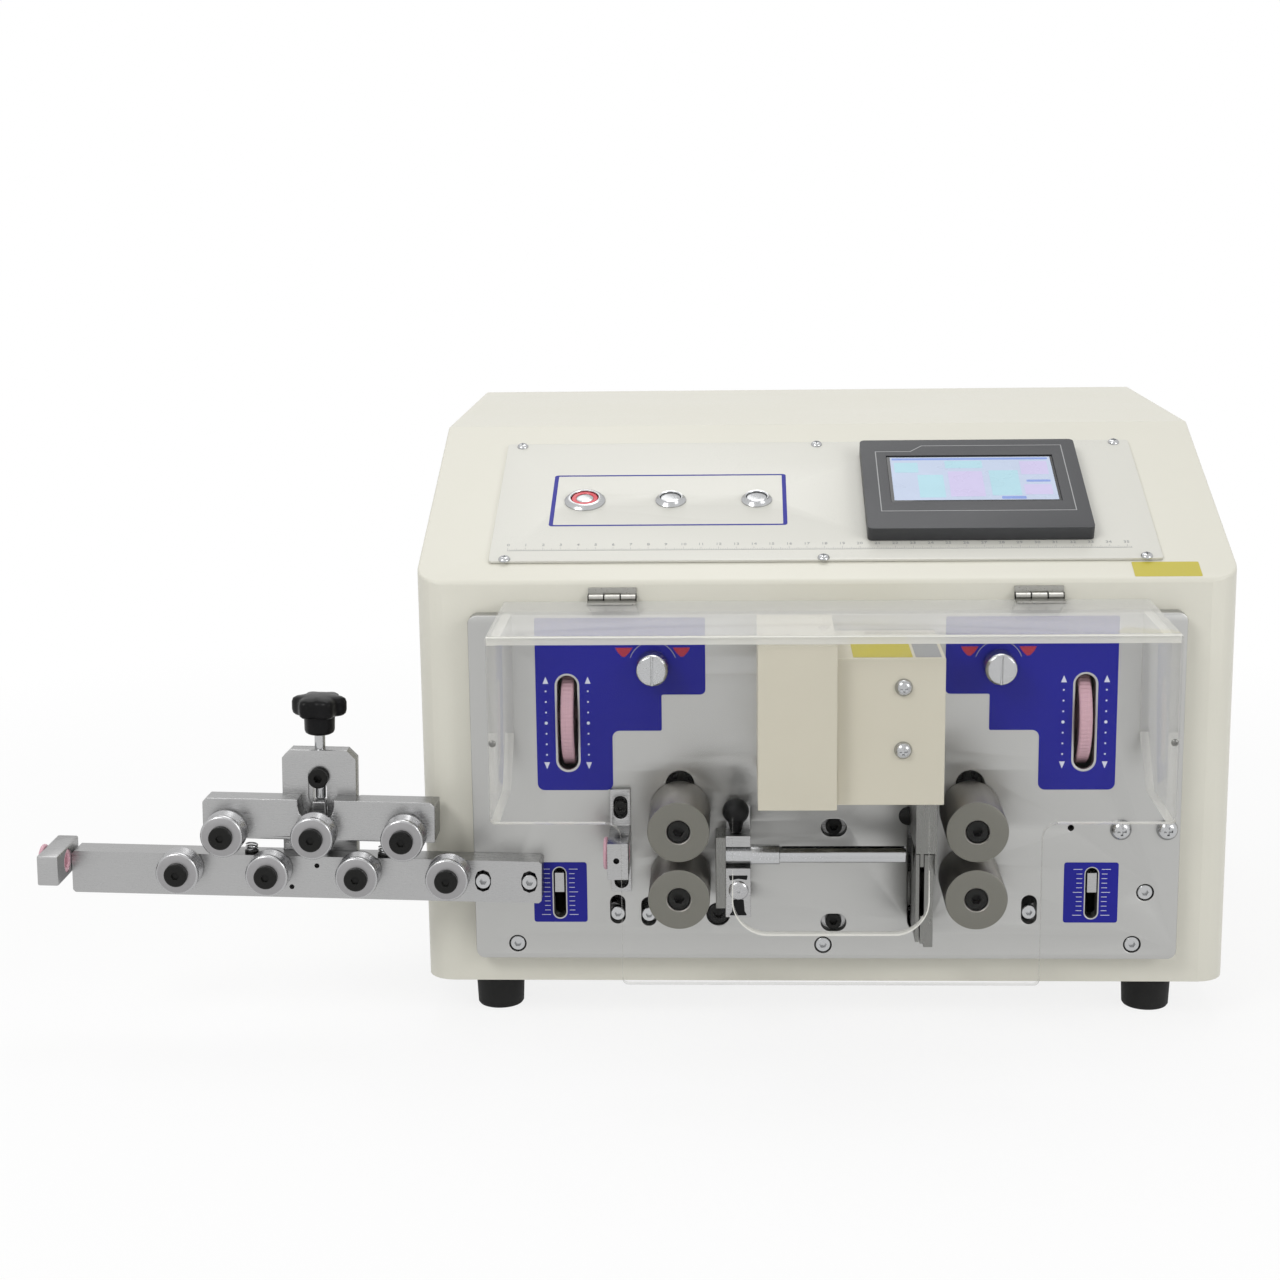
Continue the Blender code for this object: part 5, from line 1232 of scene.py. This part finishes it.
def coil_spring(start, radius, wire, height, turns):
    """Mesh of a small coil spring in the arm's frame."""
    drawing = bpy.data.curves.new("spring", "CURVE")
    drawing.dimensions = "3D"
    drawing.bevel_depth = wire
    drawing.bevel_resolution = 2
    drawing.use_fill_caps = True
    steps = 48
    line = drawing.splines.new("POLY")
    line.points.add(steps)
    for step, point in enumerate(line.points):
        angle = 2 * math.pi * turns * step / steps
        point.co = (
            *around(start[0], start[1], radius, angle),
            start[2] + height * step / steps,
            1,
        )
    mesh = baked(drawing)
    mesh.transform(arm)
    return mesh


def dress_star_knob():
    """Six-lobed knob on its steel screw."""

    def lobed(size):
        def radius(angle):
            return size - 3.0 * (1 - math.cos(6 * angle)) / 2

        return radius

    loops = [
        (0, 101.3), (5.0, 101.2), (9.0, 100.9), (lobed(13.0), 100.4), (lobed(14.8), 99.4),
        (lobed(15.5), 97.6), (lobed(15.5), 93.2), (lobed(15.0), 91.2), (lobed(13.6), 90.0),
        (lobed(12.0), 89.6), (8.9, 89.4), (8.7, 88.6), (8.5, 81.4), (8.0, 80.0), (6.8, 79.2),
        (3.4, 79), (0, 79),
    ]
    mesh = turned(loops, (bracket_u, -9.0, 0), UP, arm, 144)
    stem = turned(
        [(0, 79.5), (3, 79.5), (3, 41.9), (2.4, 41.3), (0, 41.3)],
        (bracket_u, -9.0, 0), (0, 0, 1),
        arm,
        48,
    )
    piece("star_knob_screw", stem, bright_metal, "carriage_knob")
    stands_for(piece("star_knob_moulded", mesh, black_resin, "carriage_knob", sharp=50), "star_knob")


def dress_wire_path():
    """Inlet guide, swing pipe with its knob, and the blades."""
    dress_inlet_guide()
    dress_swing_pipe()
    mesh = eyelet((-123.1, wire_y, 86.75), casing)
    stands_for(piece("inlet_eyelet_glazed", mesh, ceramic), "inlet_eyelet")
    loops = [(0, 12.1 + 7.4)]
    loops += arc_points(0, 12.1, 7.4, 84, -50, 20)
    loops += [(4.3, 5.8), (2.9, 0.4), (2.4, 0), (0, 0)]
    knob = turned(loops, (-49.75, wire_y, 98.8), UP, casing, 48)
    stands_for(piece("clamp_knob_ball", knob, black_resin, "clamp_knob"), "pipe_clamp_knob")
    for name in ("upper_blade", "lower_blade"):
        dress(name, blade_metal, 0.1, 1)
    for name in ("upper_blade_holder", "lower_blade_holder"):
        dress(name, blade_metal, 0.3)


def dress_inlet_guide():
    """Inlet guide: foot with two upright slots, the block with the eyelet's bore, and painted shade in the
    slots and the pit.
    """
    low, high = -120.3, -108.8
    back = plate_face - gap
    face = back - 3.7
    slots = [oblong(-114.5, bottom, bottom + 13.2, 7.9) for bottom in (101.0, 60.3)]
    foot = slab(rectangle((low, 58), (high, 118), 0.6), face, back, holes=slots, edge=0.3)
    head = slab(rectangle((low, 76.5), (high, 97), 0.3), -50, face + 0.2, edge=0.3)
    bore = rod(6.8, 13, (low - 0.7, wire_y, 86.75), ACROSS)
    pit = rod(1.7, 5, (-115.3, -51, 87.3), REAR, sides=24)
    mesh = joined([foot, carved(head, bore, pit)])
    stands_for(piece("inlet_guide_milled", mesh, satin_metal), "inlet_guide")
    screws = [
        socket_screw((-114.5, back, bottom + 6.2), FRONT, 3.8, 3.2, 3.2)
        for bottom in (101.0, 60.3)
    ]
    piece("inlet_screws", joined(screws), black_screw)
    # Thin black sheets at the bottoms of the slots and in the small pit: painted shade of these recesses
    shade_floors = [slab(points, back - 0.3, back - 0.02) for points in slots]
    shade_floors.append(rod(1.6, 0.4, (-115.3, -47, 87.3), FRONT))
    piece("inlet_painted_recess_shade", joined(shade_floors), black_resin)


def dress_swing_pipe():
    """Pipe in its grooved clamp block, with the cheek plate, lug and pivot pin."""
    low, high = -55.6, -41.6
    front, back = -39.8, -20.0
    body = "wire_pipe"
    clamp = block((low, front, 51.6), (high, back, 98.5))
    groove = block((low - 1, front - 1, wire_line - 6.1), (high + 1, wire_y + 1, wire_line + 6.1))
    cheek = block((-61.0, front + 0.4, 56.6), (low + 0.3, back, 97.4))
    piece("clamp_cheek", cheek, blade_metal, body, 0.4)
    lug = block((low + 0.2, -24, 90), (high - 0.2, -16, 111.5))
    pin = rod(4, 34, (-48, -22, 104), REAR, sides=48)
    ring = rod(7, 4.3, (-48, 2.2, 104), REAR, sides=48)
    mesh = joined([carved(clamp, groove), lug, pin, ring])
    item = piece("pipe_clamp_milled", mesh, satin_metal, body, 0.5)
    stands_for(item, "swing_pipe")
    loops = [
        (3.3, 0), (5.2, 0), (5.5, 0.3), (5.5, 31.2), (5.2, 31.5), (4.6, 31.5), (4.6, 100.6),
        (4.2, 101), (3.3, 101),
    ]
    tube = turned(loops, (-57, wire_y, wire_line), (1, 0, 0), sides=64, ring=True)
    trough = block((-24.5, wire_y - 2, wire_line - 0.6), (45, wire_y + 2, wire_line + 7))
    piece("wire_pipe_tube", carved(tube, trough), bright_metal, body)
    marks = [
        filleted([(-53.8, 75.9), (-43.3, 75.9), (-43.8, 73.3), (-48.6, 74.0), (-53.2, 73.0)], 0.4, 3),
        filleted(
            [(-51.4, 62), (-45.6, 62), (-45.0, 55.2), (-43.7, 52.8), (-53.6, 52.8), (-52, 55.2)],
            0.4,
            3,
        ),
    ]
    inlays = [slab(points, front - 0.12, front + 0.1) for points in marks]
    piece("clamp_marks", joined(inlays), black_resin, body)
    head = dome_screw((-48.4, front, 67.3), FRONT, 5.5, 1.8, hexagon(1.8))
    piece("clamp_screw", head, turned_metal, body)


def dress_inside():
    """Parts inside the casing and on its back."""
    dress("base_plate", cream, 0.4)
    dress("rear_panel", cream, 0.25)
    dress("bearing_plate", satin_metal, 0.4)
    dress("cutter_frame", satin_metal, 0.4)
    dress("cutter_screw", bright_metal, 0)
    dress("cutter_motor", motor_paint, 0.3)
    for label in ("left", "right"):
        dress(f"lift_arm_{label}", satin_metal, 0.3)
        dress(f"feed_motor_{label}", motor_paint, 0.3)
    dress("power_supply", zinc, 0)
    dress("control_board", board, 0.15)
    dress("power_inlet", black_resin, 0.4)
    pins = [
        block((x - 0.9, 372.6, z - 2.2), (x + 0.9, 384, z + 2.2))
        for x, z in ((165, 53.2), (158, 47.6), (172, 47.6))
    ]
    piece("inlet_pins", joined(pins), bright_metal, bevel=0.3)
    heads = []
    for x in (-220, 0, 220):
        for z in (10, 292):
            heads.append(dome_screw((x, 389.5, z), (0, 1, 0), 3.2, 1.8, cross(1.6, 0.4)))
    for x in (145.5, 184.5):
        heads.append(dome_screw((x, 392.3, 50), (0, 1, 0), 2.4, 1.3, cross(1.2, 0.3)))
    piece("rear_screws", joined(heads), bright_metal)
    loops = [
        (0, 25.7), (14.5, 25.7), (14.4, 22), (13.5, 1.2), (12.8, 0.2), (12.2, 0), (6.5, 0),
        (6.0, 0.6), (6.0, 6), (0, 6),
    ]
    for side, label in SIDES:
        for end, y in (("front", 35), ("rear", 355)):
            node = f"foot_{end}_{label}"
            foot = turned(loops, (side * 190, y, -26), UP, sides=64)
            stands_for(piece(node + "_rubber", foot, rubber), node)
            screw = dome_screw((side * 190, y, -20), (0, 0, -1), 4.2, 2.4, cross(2.0, 0.5))
            piece(node + "_screw", screw, bright_metal)


make_camera()
make_stage()
dress_casing()
dress_plate()
dress_decals()
dress_panel()
dress_slope()
dress_screen()
for side_sign, side_name in SIDES:
    dress_feed(side_name, side_sign)
dress_wire_path()
dress_straightener()
dress_guards()
dress_screws()
dress_inside()
dress_cover()
